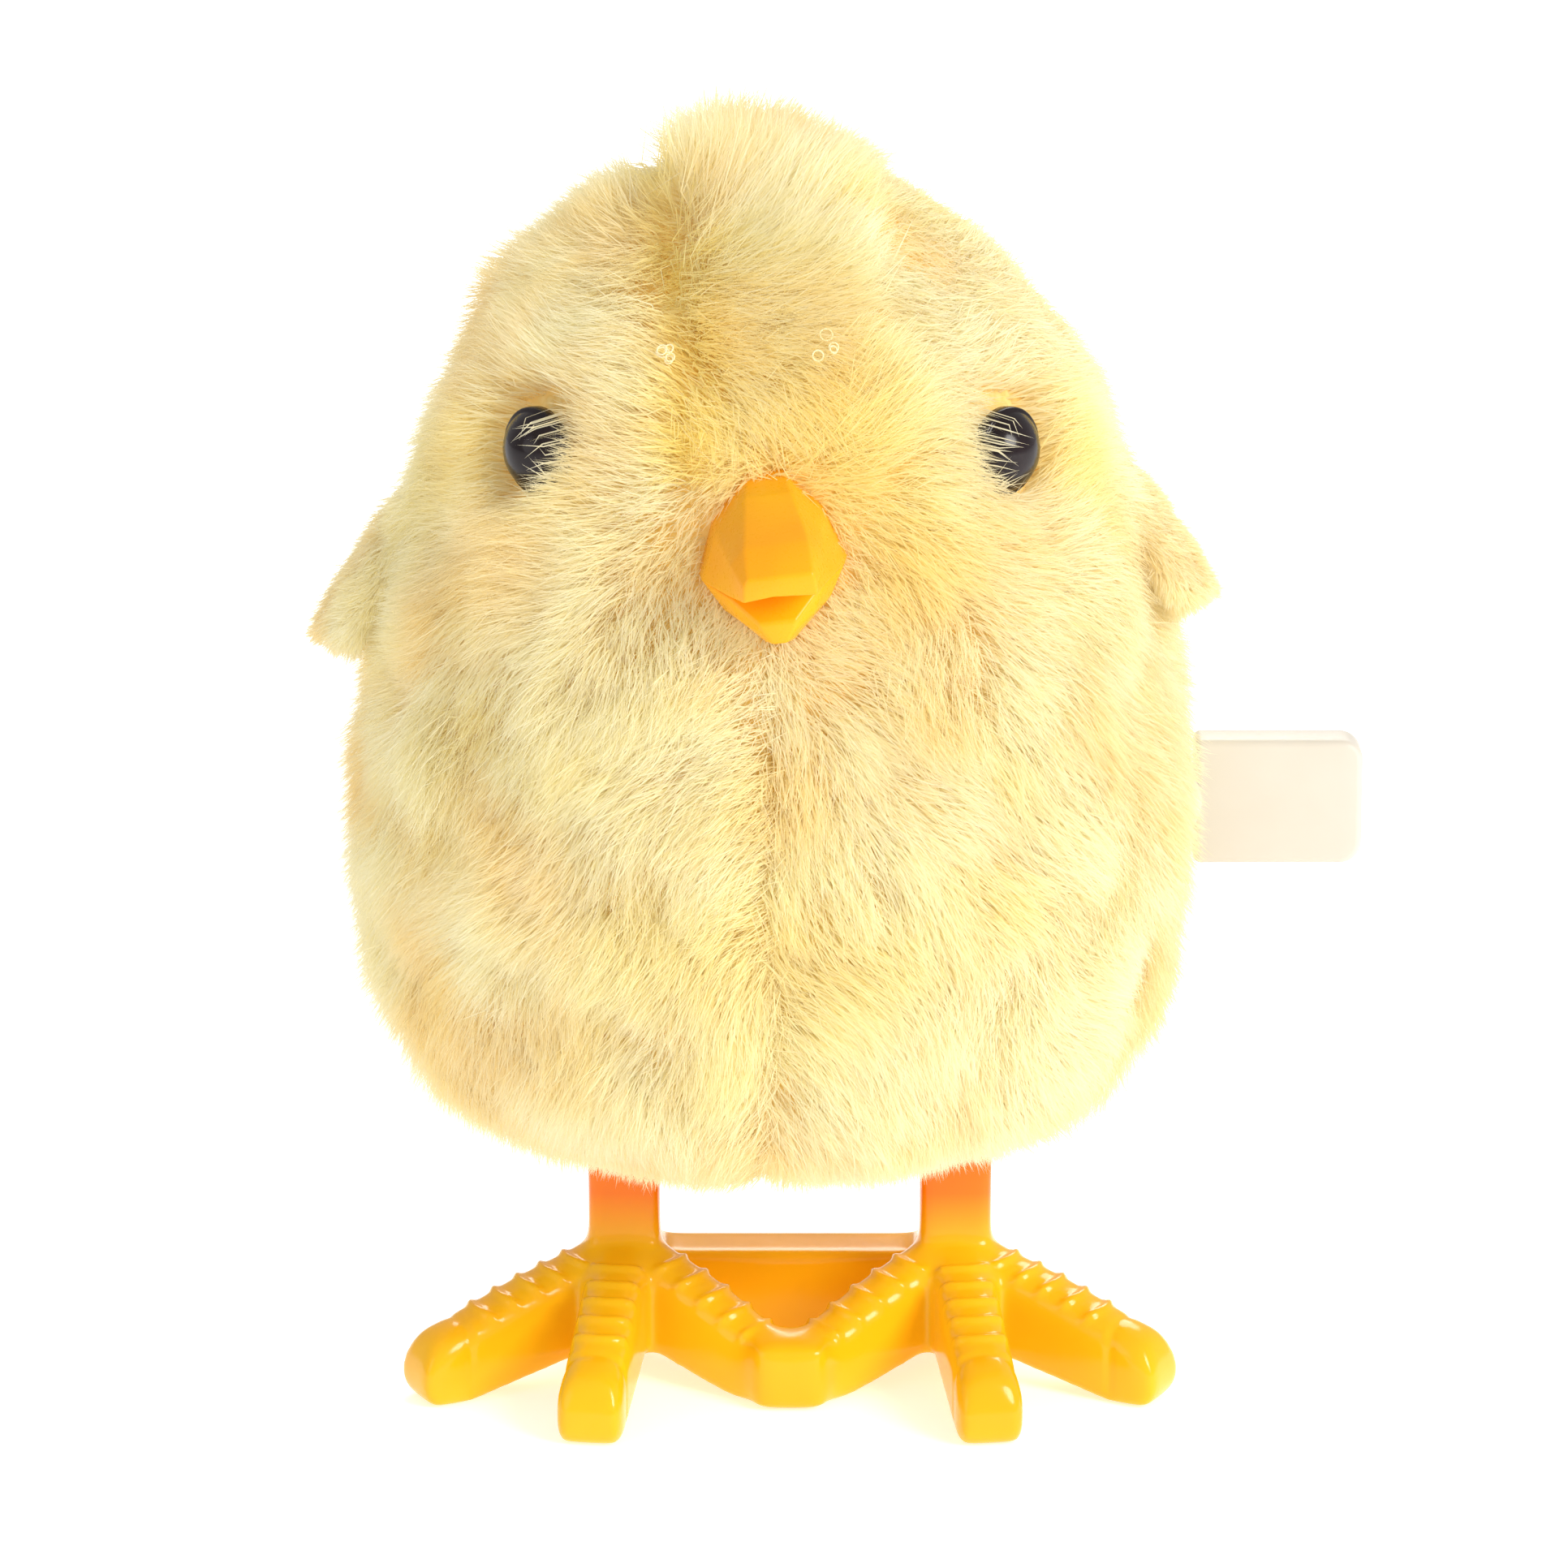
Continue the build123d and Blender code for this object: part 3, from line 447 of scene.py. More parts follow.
# %% Eye material
EYE_BLACKS = (0.010, 0.005, 0.006), (0.024, 0.015, 0.018)


def bead_finish():
    finish = Finish("black_bead", Specular_IOR_Level=0.3)
    finish.colour(finish.mix(finish.between(finish.noise(400.0), 0.4, 0.7), *EYE_BLACKS))
    finish.roughness(finish.between(finish.noise(2500.0, 6.0), 0.3, 0.8, 0.10, 0.24))
    return finish.material


bead_material = bead_finish()

# %% [markdown]
# ### Floor
# A matt white board with the slightest mottle, so that it reads as paper and not as empty space.

# %% Floor material


def floor_finish():
    finish = Finish("pale_floor", Roughness=0.9, Specular_IOR_Level=0.1, Emission_Strength=FLOOR_GLOW)
    finish.shader.inputs["Emission Color"].default_value = (1.0, 1.0, 1.0, 1.0)
    finish.colour(finish.mix(finish.noise(12.0), (0.93, 0.93, 0.93), (0.96, 0.96, 0.96)))
    return finish.material


floor_mesh.materials.append(floor_finish())

# %% [markdown]
# ## The clockwork
# The motor, its wheels and the hard shell keep their CAD shapes, which are right as they are. They only get
# their materials, one for each kind of stock.

# %% Materials for the CAD pieces
CRANK_PIECES = ["crank_pinion", "crank_disc_left", "crank_disc_right"]
SCREWS = ["motor_case_screws", "body_shell_screws"]
STOCK = {
    case_material: ["motor_case_left", "motor_case_right"],
    shell_material: ["body_shell_left", "body_shell_right"],
    gear_material: ["main_gear", "click_pawl", "ratchet_wheel", "second_gear", "third_gear", *CRANK_PIECES],
    steel_material: [*SCREWS, "leg_pivot_pins", "winding_arbor", "second_axle", "third_axle", "crank_shaft"],
    spring_material: ["mainspring"],
}
for material, names in STOCK.items():
    for name in names:
        mesh = nodes[name].data
        if not mesh.materials:
            mesh.materials.append(material)
        for place in range(len(mesh.materials)):
            nodes[name].material_slots[place].material = material
    print(material.name, "on", len(names), "pieces")

# %% [markdown]
# ## The body's surface
# The pile grows from the hard shell's outside. The shell is a turned egg, so one curve describes it: the
# distance from a centre for each angle down from the top. The curve is measured on the shell's own mesh, as
# the furthest vertex at each angle, and smoothed. After that, any place on the body is two angles: how far
# down, and how far round from the front.

# %% Measure the egg


def points_of(*names):
    """All vertices of the named CAD pieces."""
    return np.concatenate([np.array([v.co for v in nodes[name].data.vertices]) for name in names])


shell_points = points_of("body_shell_left", "body_shell_right")
shell_low, shell_high = shell_points.min(0), shell_points.max(0)
EGG_CENTRE = np.array([*(shell_low + shell_high)[:2] / 2, shell_low[2] * 0.58 + shell_high[2] * 0.42])
away = shell_points - EGG_CENTRE
angle_down = np.arctan2(np.hypot(away[:, 0], away[:, 1]), away[:, 2])
distance = np.linalg.norm(away, axis=1)
BINS = 72
SMOOTHING = 7  # bins that one smoothed value is made of
edges = np.linspace(0, math.pi, BINS + 1)
DOWN = (edges[1:] + edges[:-1]) / 2
in_bins = [(angle_down >= a) & (angle_down <= b) for a, b in zip(edges, edges[1:])]
reach = np.array([distance[chosen].max(initial=0) for chosen in in_bins])
known = reach > 15 * MM  # the bins that hold a vertex of the shell's outside
reach = np.interp(DOWN, DOWN[known], reach[known])
mirrored = np.concatenate([reach[SMOOTHING - 1 :: -1], reach, reach[: -SMOOTHING - 1 : -1]])
weights = np.hanning(SMOOTHING) / np.hanning(SMOOTHING).sum()
REACH = np.convolve(mirrored, weights, mode="same")[SMOOTHING:-SMOOTHING]
SLOPE = np.gradient(REACH, DOWN)
print("egg centre", EGG_CENTRE.round(4), "reach", REACH.min().round(4), "to", REACH.max().round(4))


def egg_at(down, around, lift=0.0):
    """Place, outward normal, downward and sideways directions on the egg for two angles."""
    far, slope = np.interp(down, DOWN, REACH), np.interp(down, DOWN, SLOPE)
    sin_d, cos_d = np.sin(down), np.cos(down)
    out = np.stack([np.sin(around), -np.cos(around), np.zeros_like(around)], -1)
    up = np.array([0.0, 0.0, 1.0])
    run_out, run_up = slope * sin_d + far * cos_d, slope * cos_d - far * sin_d
    length = np.hypot(run_out, run_up)
    normal = out * (-run_up / length)[..., None] + up * (run_out / length)[..., None]
    downward = out * (run_out / length)[..., None] + up * (run_up / length)[..., None]
    sideways = np.stack([np.cos(around), np.sin(around), np.zeros_like(around)], -1)
    place = EGG_CENTRE + out * (far * sin_d)[..., None] + up * (far * cos_d)[..., None] + normal * lift
    return place, normal, downward, sideways


WAVES = 12


def waves(points, size, seed):
    """Smooth noise from about -1 to 1, made of waves of about the given size."""
    source = np.random.default_rng(seed)
    run = source.normal(size=(WAVES, 3))
    lengths = np.linalg.norm(run, axis=1, keepdims=True)
    run *= 2 * math.pi / size / lengths * source.uniform(0.6, 1.4, (WAVES, 1))
    return np.sin(points @ run.T + source.uniform(0, 2 * math.pi, WAVES)).sum(1) / 3.5


# %% [markdown]
# ## Backing cloth
# The cover is cut in three: a left panel, a right panel and a narrow gusset over the head. Each is a patch
# of the same surface, thickened inwards to a closed cloth. The panels are what the pile is rooted in.

# %% Backing panels
CLOTH = 0.5 * MM
GUSSET_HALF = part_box("plush_head_gusset")[1][0] - EGG_CENTRE[0]
GUSSET_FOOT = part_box("plush_head_gusset")[0][2]


def cloth_panel(name, node, belongs):
    """A closed cloth patch over the part of the egg where belongs(place) holds."""
    downs, arounds = np.linspace(0.001, math.pi - 0.001, 90), np.linspace(-math.pi, math.pi, 181)
    grid_down, grid_around = np.meshgrid(downs, arounds, indexing="ij")
    place, normal, _, _ = egg_at(grid_down, grid_around, 0.05 * MM)
    rows, columns = grid_down.shape
    centres = (place[:-1, :-1] + place[1:, 1:]) / 2
    keep = belongs(centres.reshape(-1, 3)).reshape(rows - 1, columns - 1)
    index = np.arange(rows * columns).reshape(rows, columns)
    faces = [
        (index[i, j], index[i + 1, j], index[i + 1, j + 1], index[i, j + 1])
        for i in range(rows - 1)
        for j in range(columns - 1)
        if keep[i, j]
    ]
    shape = shape_of(place.reshape(-1, 3), faces)
    bmesh.ops.delete(shape, geom=[v for v in shape.verts if not v.link_faces], context="VERTS")
    bmesh.ops.remove_doubles(shape, verts=shape.verts, dist=0.01 * MM)
    piece = new_object(name, mesh_of(name, shape), backing_material, "chassis")
    thick = piece.modifiers.new("cloth", "SOLIDIFY")
    thick.thickness = -CLOTH
    apply_modifiers(piece)
    smooth_faces(piece.data)
    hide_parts(node)
    print(name, len(piece.data.polygons), "faces")


SLOT_HALF = (3.1 * MM, 4.4 * MM)  # half of a leg's slot along X and along Y
SLOT_TOP = 26 * MM
KNOB_HOLE = 3.2 * MM
knob_low, knob_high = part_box("winding_knob")
knob_axis = np.array([0, (knob_low[1] + knob_high[1]) / 2, (knob_low[2] + knob_high[2]) / 2])


def in_gusset(p):
    return (np.abs(p[:, 0] - EGG_CENTRE[0]) < GUSSET_HALF) & (p[:, 2] > GUSSET_FOOT)


def in_opening(p, margin=0.0):
    """True at the two leg slots and the hole for the winding knob."""
    from_leg = np.abs(np.stack([np.abs(p[:, 0]) - LEG_X, p[:, 1] - LEG_Y]))
    at_leg = (from_leg[0] < SLOT_HALF[0] + margin) & (from_leg[1] < SLOT_HALF[1] + margin)
    from_knob = np.hypot(p[:, 1] - knob_axis[1], p[:, 2] - knob_axis[2])
    at_knob = (p[:, 0] > 0) & (from_knob < KNOB_HOLE + margin)
    return ((p[:, 2] < SLOT_TOP) & at_leg) | at_knob


for side, sign in (("left", -1), ("right", 1)):
    cloth_panel(
        f"pile_backing_{side}",
        f"plush_{side}",
        lambda p, sign=sign: (sign * (p[:, 0] - EGG_CENTRE[0]) > 0) & ~in_gusset(p) & ~in_opening(p),
    )
cloth_panel("pile_backing_gusset", "plush_head_gusset", in_gusset)

# %% [markdown]
# ## Pile
# The fibres are real mesh, because particle hair is lost when the model leaves Blender. Each fibre is a
# ribbon of two faces that narrows to a point, a tenth of a millimetre wide. They are grown in tufts: a tuft
# has one place and one lean, and its fibres start scattered round that place and draw together at their
# tips, as brushed pile does.
#
# The lean follows the cut of the cover. It falls down the body, away from the seam of the chest, spreads
# from the beak over the cheeks, and stands up along the gusset, where the pile is longest and makes the
# tuft.

# %% Where the pile grows
eyes = {}
for name in ("eye_left", "eye_right"):
    points = points_of(name)
    from_axis = points - EGG_CENTRE
    top = points[np.argmax(np.hypot(from_axis[:, 0], from_axis[:, 1]))]
    outwards = (top - EGG_CENTRE) * (1, 1, 0)
    eyes[name] = (top, outwards / np.linalg.norm(outwards))
    print(name, "top", (top * 1000).round(1))
beak_low, beak_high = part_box("beak")
BEAK_Y = beak_low[1] + 9.4 * MM  # where the beak leaves the cover
BEAK_Z = (beak_low[2] + beak_high[2]) / 2
beak_centre = np.array([EGG_CENTRE[0], BEAK_Y, BEAK_Z])
EYE_CLEAR = 3.45 * MM
BEAK_CLEAR = 3.5 * MM
FIBRES_PER_TUFT = 24
TUFTS_PER_MM2 = 1.55
FIBRE_HALF_WIDTH = 0.055 * MM
PILE_LENGTH = 4.7 * MM
CREST_LENGTH = 7.6 * MM


def unit(v):
    return v / np.maximum(np.linalg.norm(v, axis=-1, keepdims=True), 1e-12)


def near(place, x, y, z, size):
    """1 at a point given in millimetres from the body's axis and the ground, falling to 0 over size."""
    spot = np.array([EGG_CENTRE[0] + x * MM, EGG_CENTRE[1] + y * MM, z * MM])
    return np.exp(-(((place - spot) / (size * MM)) ** 2).sum(-1))


def swirled(lean, normal, angle):
    """The lean turned about the normal by an angle."""
    return lean * np.cos(angle)[:, None] + np.cross(normal, lean) * np.sin(angle)[:, None]


def parting(place):
    """1 along the seam between the left panel and the gusset, on the forehead."""
    x, y, z = (place - EGG_CENTRE).T
    height = z + EGG_CENTRE[2]
    edge = -GUSSET_HALF - np.clip(height - 72 * MM, 0, 1) * 0.2
    return np.exp(-(((x - edge) / (1.3 * MM)) ** 2)) * (y < 0) * (height > 67 * MM) * (height < 82 * MM)


def body_lean(place, normal, downward, sideways):
    """The direction that the pile lies in along the surface, its length, and how upright it stands."""
    x, z = place[:, 0] - EGG_CENTRE[0], place[:, 2]
    side = np.sign(x)[:, None]
    front = np.clip(-normal[:, 1] * 3, 0, 1)
    # down the body, turned away from the chest seam
    seam = np.exp(-np.abs(x) / (7 * MM)) * front
    body = unit(downward + sideways * side * (0.8 * seam)[:, None])
    # out from the beak over the face, but falling onto the beak from above
    from_beak = place - beak_centre
    from_beak[:, 2] = np.where(from_beak[:, 2] > 0, from_beak[:, 2] * 0.25, from_beak[:, 2])
    from_beak -= normal * (from_beak * normal).sum(1)[:, None]
    face = np.clip((z - 52 * MM) / (10 * MM), 0, 1) * front
    lean = body * (1 - face)[:, None] + unit(from_beak + downward * 1.5 * MM) * face[:, None]
    # the head beside the gusset falls sideways
    crown = np.clip((z - 70 * MM) / (6 * MM), 0, 1)
    aside = sideways * side * np.where(front > 0, 1.0, 0.3)[:, None] + downward * 0.7
    lean = lean * (1 - crown)[:, None] + unit(aside) * crown[:, None]
    lean = swirled(unit(lean), normal, waves(place, 11 * MM, 5) * 0.6)
    length = PILE_LENGTH * (1 + 0.13 * waves(place, 9 * MM, 6) + 0.06 * waves(place, 4 * MM, 7))
    length *= 1 - 0.25 * np.exp(-((x / (1.1 * MM)) ** 2)) * front * (z < 60 * MM)
    length *= 1 - 0.55 * parting(place)
    length *= np.clip(np.linalg.norm(place - beak_centre, axis=1) / (9 * MM), 0.55, 1.0)
    length *= 1 - 0.74 * np.clip((25 * MM - z) / (7 * MM), 0, 1)
    # the winding knob keeps the pile short where it turns
    from_knob = np.hypot(place[:, 1] - knob_axis[1], z - knob_axis[2])
    length *= 1 - 0.42 * np.clip((8.0 * MM - from_knob) / (2 * MM), 0, 1) * (x > 0)
    # the right of the head is brushed flat
    flat = np.clip((x - 2 * MM) / (5 * MM), 0, 1) * np.clip((z - 68 * MM) / (7 * MM), 0, 1)
    rise = 0.70 * (1 - 0.75 * flat)
    from_seam = np.abs(x) - GUSSET_HALF
    beside_tuft = np.clip((z - 73 * MM) / (5 * MM), 0, 1) * np.exp(-((from_seam / (3 * MM)) ** 2))
    return lean, length * (1 - 0.25 * flat) * (1 - 0.35 * beside_tuft), rise


def gusset_lean(place, normal, downward, sideways):
    """The gusset's pile falls onto the beak below, and is brushed up and over to the right above."""
    x, z = place[:, 0] - EGG_CENTRE[0], place[:, 2]
    front = normal[:, 1] < 0
    high = np.clip((z - 75 * MM) / (6 * MM), 0, 1)
    # from -1 at the gusset's left edge to 1 at its right one
    over = np.clip(x / GUSSET_HALF, -1, 1)
    turn = np.radians(np.interp(z / MM, [66, 71, 75, 79, 84], [0, 30, 75, 110, 140]))[:, None]
    flick = np.clip((z - 80 * MM) / (3 * MM), 0, 1) * np.clip(0.3 - over, 0, 1)
    forehead = downward * np.cos(turn) + sideways * (np.sin(turn) - 1.5 * flick[:, None])
    lean = np.where(front[:, None], forehead, downward + sideways * 0.25)
    lean = swirled(unit(lean), normal, waves(place, 9 * MM, 8) * 0.3)
    tall = np.interp(over, [-1.0, -0.6, 0.1, 1.0], [1.0, 1.15, 0.60, 0.15])
    length = PILE_LENGTH * 0.95 + (CREST_LENGTH - PILE_LENGTH) * high * tall * np.where(front, 1.0, 0.5)
    rise = 0.42 + 0.45 * high * np.clip(0.6 - over, 0.1, 1)
    return lean, length * (1 + 0.08 * waves(place, 5 * MM, 9)), rise


def yolk_dye(place):
    """How deep a yellow the pile is dyed: most on the forehead and behind the eyes."""
    share = 0.5 * near(place, 1.0, -19, 71, 6.5)
    share = share + 0.35 * near(place, 7, -20, 65, 5)
    share = share + 0.25 * near(place, 0, -24, 38, 8)
    for x in (-19.5, 19.5):
        share = share + 0.5 * near(place, x, -11, 66, 4.0)
    share = share + 0.5 * parting(place)
    return np.clip(share + 0.10 * waves(place, 8 * MM, 31), 0, 0.85)


# %% [markdown]
# ### Growing it
# The growing takes a surface as a rule: two numbers in, and a place with its three directions out. That way
# the same code serves the body and the wings. A fibre leaves its root nearly upright and bends over
# halfway, towards its own lean and towards the tip of its tuft. The mesh also gets its own normals, turned
# a little towards the body's, so that light sees a soft coat and not hundreds of thousands of little
# blades.

# %% Grow and build fibres
BODY_NORMAL_SHARE = 0.3
CORNERS = 7  # four of a fibre's quad and three of its triangle


def fibre_mesh(name, start, middle, tip, across, outward, numbers):
    """One mesh of tapered ribbons: four points and a tip for each fibre, in two faces."""
    count = len(start)
    points = np.empty((count, 5, 3))
    points[:, 0] = start - across * FIBRE_HALF_WIDTH
    points[:, 1] = start + across * FIBRE_HALF_WIDTH
    points[:, 2] = middle + across * FIBRE_HALF_WIDTH * 0.8
    points[:, 3] = middle - across * FIBRE_HALF_WIDTH * 0.8
    points[:, 4] = tip
    first = np.arange(count) * 5
    corners = np.stack([first, first + 1, first + 2, first + 3, first + 3, first + 2, first + 4], 1)
    starts = np.stack([np.arange(count) * CORNERS, np.arange(count) * CORNERS + 4], 1)
    mesh = bpy.data.meshes.new(name)
    mesh.vertices.add(count * 5)
    mesh.vertices.foreach_set("co", points.ravel().astype(np.float32))
    mesh.loops.add(count * CORNERS)
    mesh.loops.foreach_set("vertex_index", corners.ravel().astype(np.int32))
    mesh.polygons.add(count * 2)
    mesh.polygons.foreach_set("loop_start", starts.ravel().astype(np.int32))
    mesh.update(calc_edges=True)
    carried = {"along": np.tile(np.array([0.0, 0.0, 0.5, 0.5, 1.0]), count)}
    for key, values in numbers.items():
        carried[key] = np.repeat(values, 5)
    for key, values in carried.items():
        attribute = mesh.attributes.new(key, "FLOAT", "POINT")
        attribute.data.foreach_set("value", values.astype(np.float32))
    smooth_faces(mesh)
    own = np.cross(across, tip - start)
    normals = unit(unit(own) * (1 - BODY_NORMAL_SHARE) + outward * BODY_NORMAL_SHARE)
    mesh.normals_split_custom_set_from_vertices(np.repeat(normals, 5, axis=0))
    return mesh


def grow(name, surface, nudge, first, second, rule, draw, spread=0.75 * MM, blocked=None):
    """Tufts of fibres on a surface, at the given pairs of surface numbers."""
    tufts = len(first)
    centre, normal, downward, sideways = surface(first, second)
    lean, length, rise = rule(centre, normal, downward, sideways)
    rise = rise + 0.10 * waves(centre, 4 * MM, 12)
    jitter = draw.normal(size=(tufts, 3)) * 0.2
    tuft_tip = centre + unit(normal * rise[:, None] + lean * 0.62 + jitter) * length[:, None]

    many = np.repeat(np.arange(tufts), FIBRES_PER_TUFT)
    step = draw.normal(size=(len(many), 2)) * spread
    start, n, d, s = surface(*nudge(first[many], second[many], step))
    if blocked is not None:
        free = ~blocked(start)
        start, n, d, s, many = start[free], n[free], d[free], s[free], many[free]
    own_lean, own_length = lean[many], length[many] * draw.uniform(0.75, 1.12, len(many))
    wild = draw.normal(size=(len(many), 3)) * 0.17
    lower = unit(n * (0.35 + 0.75 * rise[many])[:, None] + own_lean * 0.3 + wild)
    upper = unit(n * rise[many][:, None] * 0.75 + own_lean * 0.8 + wild * 1.5)
    middle = start + lower * (own_length * 0.5)[:, None]
    tip = middle + upper * (own_length * 0.5)[:, None]
    drawn_together = draw.uniform(0.1, 0.6, len(many))[:, None]
    target = tuft_tip[many] + (start - centre[many]) * 0.35
    tip = tip * (1 - drawn_together) + target * drawn_together
    middle = middle + (target - tip) * 0.1
    across = unit(np.cross(tip - start, n + draw.normal(size=n.shape) * 0.3))
    tone = np.clip(0.5 + 0.22 * draw.normal(size=tufts)[many] + 0.18 * draw.normal(size=len(many)), 0, 1)
    numbers = {"tone": tone, "yolk": yolk_dye(start)}
    mesh = fibre_mesh(name, start, middle, tip, across, n, numbers)
    new_object(name, mesh, pile_material, "chassis")
    print(name, len(many), "fibres")


def on_body(down, around):
    return egg_at(down, around, CLOTH * 0.4)


def nudge_on_body(down, around, step):
    """Moves a place on the egg by a step in metres, downwards and sideways."""
    far = np.interp(down, DOWN, REACH)
    moved_down = np.clip(down + step[:, 0] / far, 0.004, math.pi - 0.004)
    return moved_down, around + step[:, 1] / np.maximum(far * np.sin(moved_down), 0.5 * MM)


line = np.linspace(0.01, math.pi - 0.01, 400)
far_line, slope_line = np.interp(line, DOWN, REACH), np.interp(line, DOWN, SLOPE)
ring_area = 2 * math.pi * far_line * np.sin(line) * np.hypot(far_line, slope_line) * (line[1] - line[0])
EGG_AREA = float(ring_area.sum())
print("area under pile", round(EGG_AREA * 1e6), "mm2")


def tuft_places(count, draw, belongs):
    """Random places spread evenly over the egg, kept where belongs holds."""
    down = np.interp(draw.uniform(0, 1, count), np.cumsum(ring_area) / EGG_AREA, line)
    around = draw.uniform(-math.pi, math.pi, count)
    kept = belongs(egg_at(down, around)[0])
    return down[kept], around[kept]


def clear_of_face(p):
    """True where no eye or beak stands."""
    kept = np.linalg.norm((p - beak_centre) * (0.9, 0.3, 1), axis=1) > BEAK_CLEAR
    for top, outwards in eyes.values():
        off = p - top
        off -= outwards * (off @ outwards)[:, None]
        ahead = (p - EGG_CENTRE) @ outwards > 0
        kept &= (np.linalg.norm(off, axis=1) > EYE_CLEAR) | ~ahead
    return kept


def no_root(p):
    return in_opening(p, 0.9 * MM) | ~clear_of_face(p)


# %% [markdown]
# ### The coat
# The coat is grown in eight pieces and a crest: front and back, left and right, above and below the waist.
# One mesh would look the same, but smaller ones stay light enough to be handled and kept whole.

# %% Pile on the body
WAIST = 48 * MM
CREST_DENSITY = 1.3  # the crest's tufts stand this much closer
draw = np.random.default_rng(7)
all_tufts = int(EGG_AREA * 1e6 * TUFTS_PER_MM2)
down, around = tuft_places(all_tufts, draw, lambda p: clear_of_face(p) & ~in_opening(p) & ~in_gusset(p))
place = egg_at(down, around)[0]
left = place[:, 0] < EGG_CENTRE[0]
ahead = place[:, 1] < EGG_CENTRE[1]
upper = place[:, 2] > WAIST
for name, quarter in (
    ("pile_front_left", left & ahead),
    ("pile_front_right", ~left & ahead),
    ("pile_back_left", left & ~ahead),
    ("pile_back_right", ~left & ~ahead),
):
    for level, eighth in (("upper", quarter & upper), ("lower", quarter & ~upper)):
        piece, places = f"{name}_{level}", (down[eighth], around[eighth])
        grow(piece, on_body, nudge_on_body, *places, body_lean, draw, blocked=no_root)
crest_tufts = int(all_tufts * CREST_DENSITY)
crest = tuft_places(crest_tufts, draw, lambda p: in_gusset(p) & clear_of_face(p))
grow("pile_crest", on_body, nudge_on_body, *crest, gusset_lean, draw, blocked=no_root)

# %% [markdown]
# ## Wings
# A wing is a small leaf of the same cloth, folded double and sewn to the side by its upper edge, so that
# its tip stands off the body. The leaf is drawn flat as a half-width for each distance from the seam, then
# bent: it leaves the body at the slant of its CAD solid and hangs a little steeper towards the tip. Pile
# grows on both its faces.

# %% Wings
WING_HALF_THICKNESS = 0.45 * MM
WING_PILE = 2.0 * MM
WING_HANG = {"left": (3.0 * MM, 9.6 * MM), "right": (2.4 * MM, 7.4 * MM)}  # seam below the CAD top, and drop
WING_SPREAD = {"left": 0.76, "right": 0.62}  # how much of the CAD wing's width the cloth takes
WING_TUFTS = 620


def wing_surface(side):
    """The rule of one wing's surface, for how far down it and how far round its leaf, each from 0 to 1."""
    low, high = (np.array(corner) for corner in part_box(f"wing_{side}"))
    sign = 1 if side == "right" else -1
    inner_x, outer_x = (low[0], high[0]) if sign > 0 else (high[0], low[0])
    middle_y, half_y = (low[1] + high[1]) / 2, (high[1] - low[1]) / 2
    run_x = abs(outer_x - inner_x) * WING_SPREAD[side]
    below, drop = WING_HANG[side]
    top_x, top_z = inner_x + sign * 0.6 * MM, high[2] - below

    def surface(share, turn):
        angle = turn * 2 * math.pi
        leaf = half_y * (0.45 + 0.4 * np.sin(share * 2.0)) * (1 - share**6) ** 0.5
        across_y, thick = np.cos(angle), np.sin(angle)
        curl = (1.25 * share - 0.25 * share**2) * run_x
        x = top_x + sign * (curl + thick * WING_HALF_THICKNESS - 0.12 * half_y * across_y**2)
        y = middle_y + across_y * leaf
        z = top_z - share * drop
        place = np.stack([x, y, z], -1)
        facing = np.stack([sign * thick, across_y * 0.35, np.zeros_like(x)], -1)
        outwards = sign * (1.25 - 0.5 * share) * run_x
        down_the_wing = unit(np.stack([outwards, np.zeros_like(x), np.full_like(x, -drop)], -1))
        facing = unit(facing - down_the_wing * (facing * down_the_wing).sum(-1, keepdims=True))
        return place, facing, down_the_wing, unit(np.cross(down_the_wing, facing))

    return surface


def wing_backing(side, surface):
    """A closed leaf of folded cloth."""
    rows, around = 28, 40
    share, turn = np.meshgrid(np.linspace(0.0, 1.0, rows), np.arange(around) / around, indexing="ij")
    place = surface(share.ravel(), turn.ravel())[0]
    index = np.arange(rows * around).reshape(rows, around)
    nxt = np.roll(index, -1, axis=1)
    faces = np.stack([index[:-1], nxt[:-1], nxt[1:], index[1:]], -1).reshape(-1, 4).tolist()
    faces += [index[0].tolist(), index[-1][::-1].tolist()]
    name = f"wing_cloth_{side}"
    mesh = mesh_of(name, shape_of(place, faces))
    piece = new_object(name, mesh, backing_material, "chassis")
    smooth_faces(piece.data)
    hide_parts(f"wing_{side}")


def wing_lean(place, normal, downward, sideways):
    lean = swirled(downward, normal, waves(place, 5 * MM, 21) * 0.35)
    return lean, WING_PILE * (1 + 0.12 * waves(place, 3 * MM, 22)), 0.5


def nudge_on_wing(share, turn, step):
    return np.clip(share + step[:, 0] / (13 * MM), 0, 1), turn + step[:, 1] / (26 * MM)


for side in ("left", "right"):
    surface = wing_surface(side)
    wing_backing(side, surface)
    share, turn = draw.uniform(0.0, 1.0, WING_TUFTS), draw.uniform(0, 1, WING_TUFTS)
    grow(f"wing_pile_{side}", surface, nudge_on_wing, share, turn, wing_lean, draw, spread=0.6 * MM)

# %% [markdown]
# ## Eyes
# Each eye is a black domed button with a thin rim, on a stem that is pressed through the cover into the
# shell. A button is a turned shape, so it is made from its outline, spun about the eye's own axis. The
# outline is rounded where the dome meets the rim, because that small round is what catches the light.

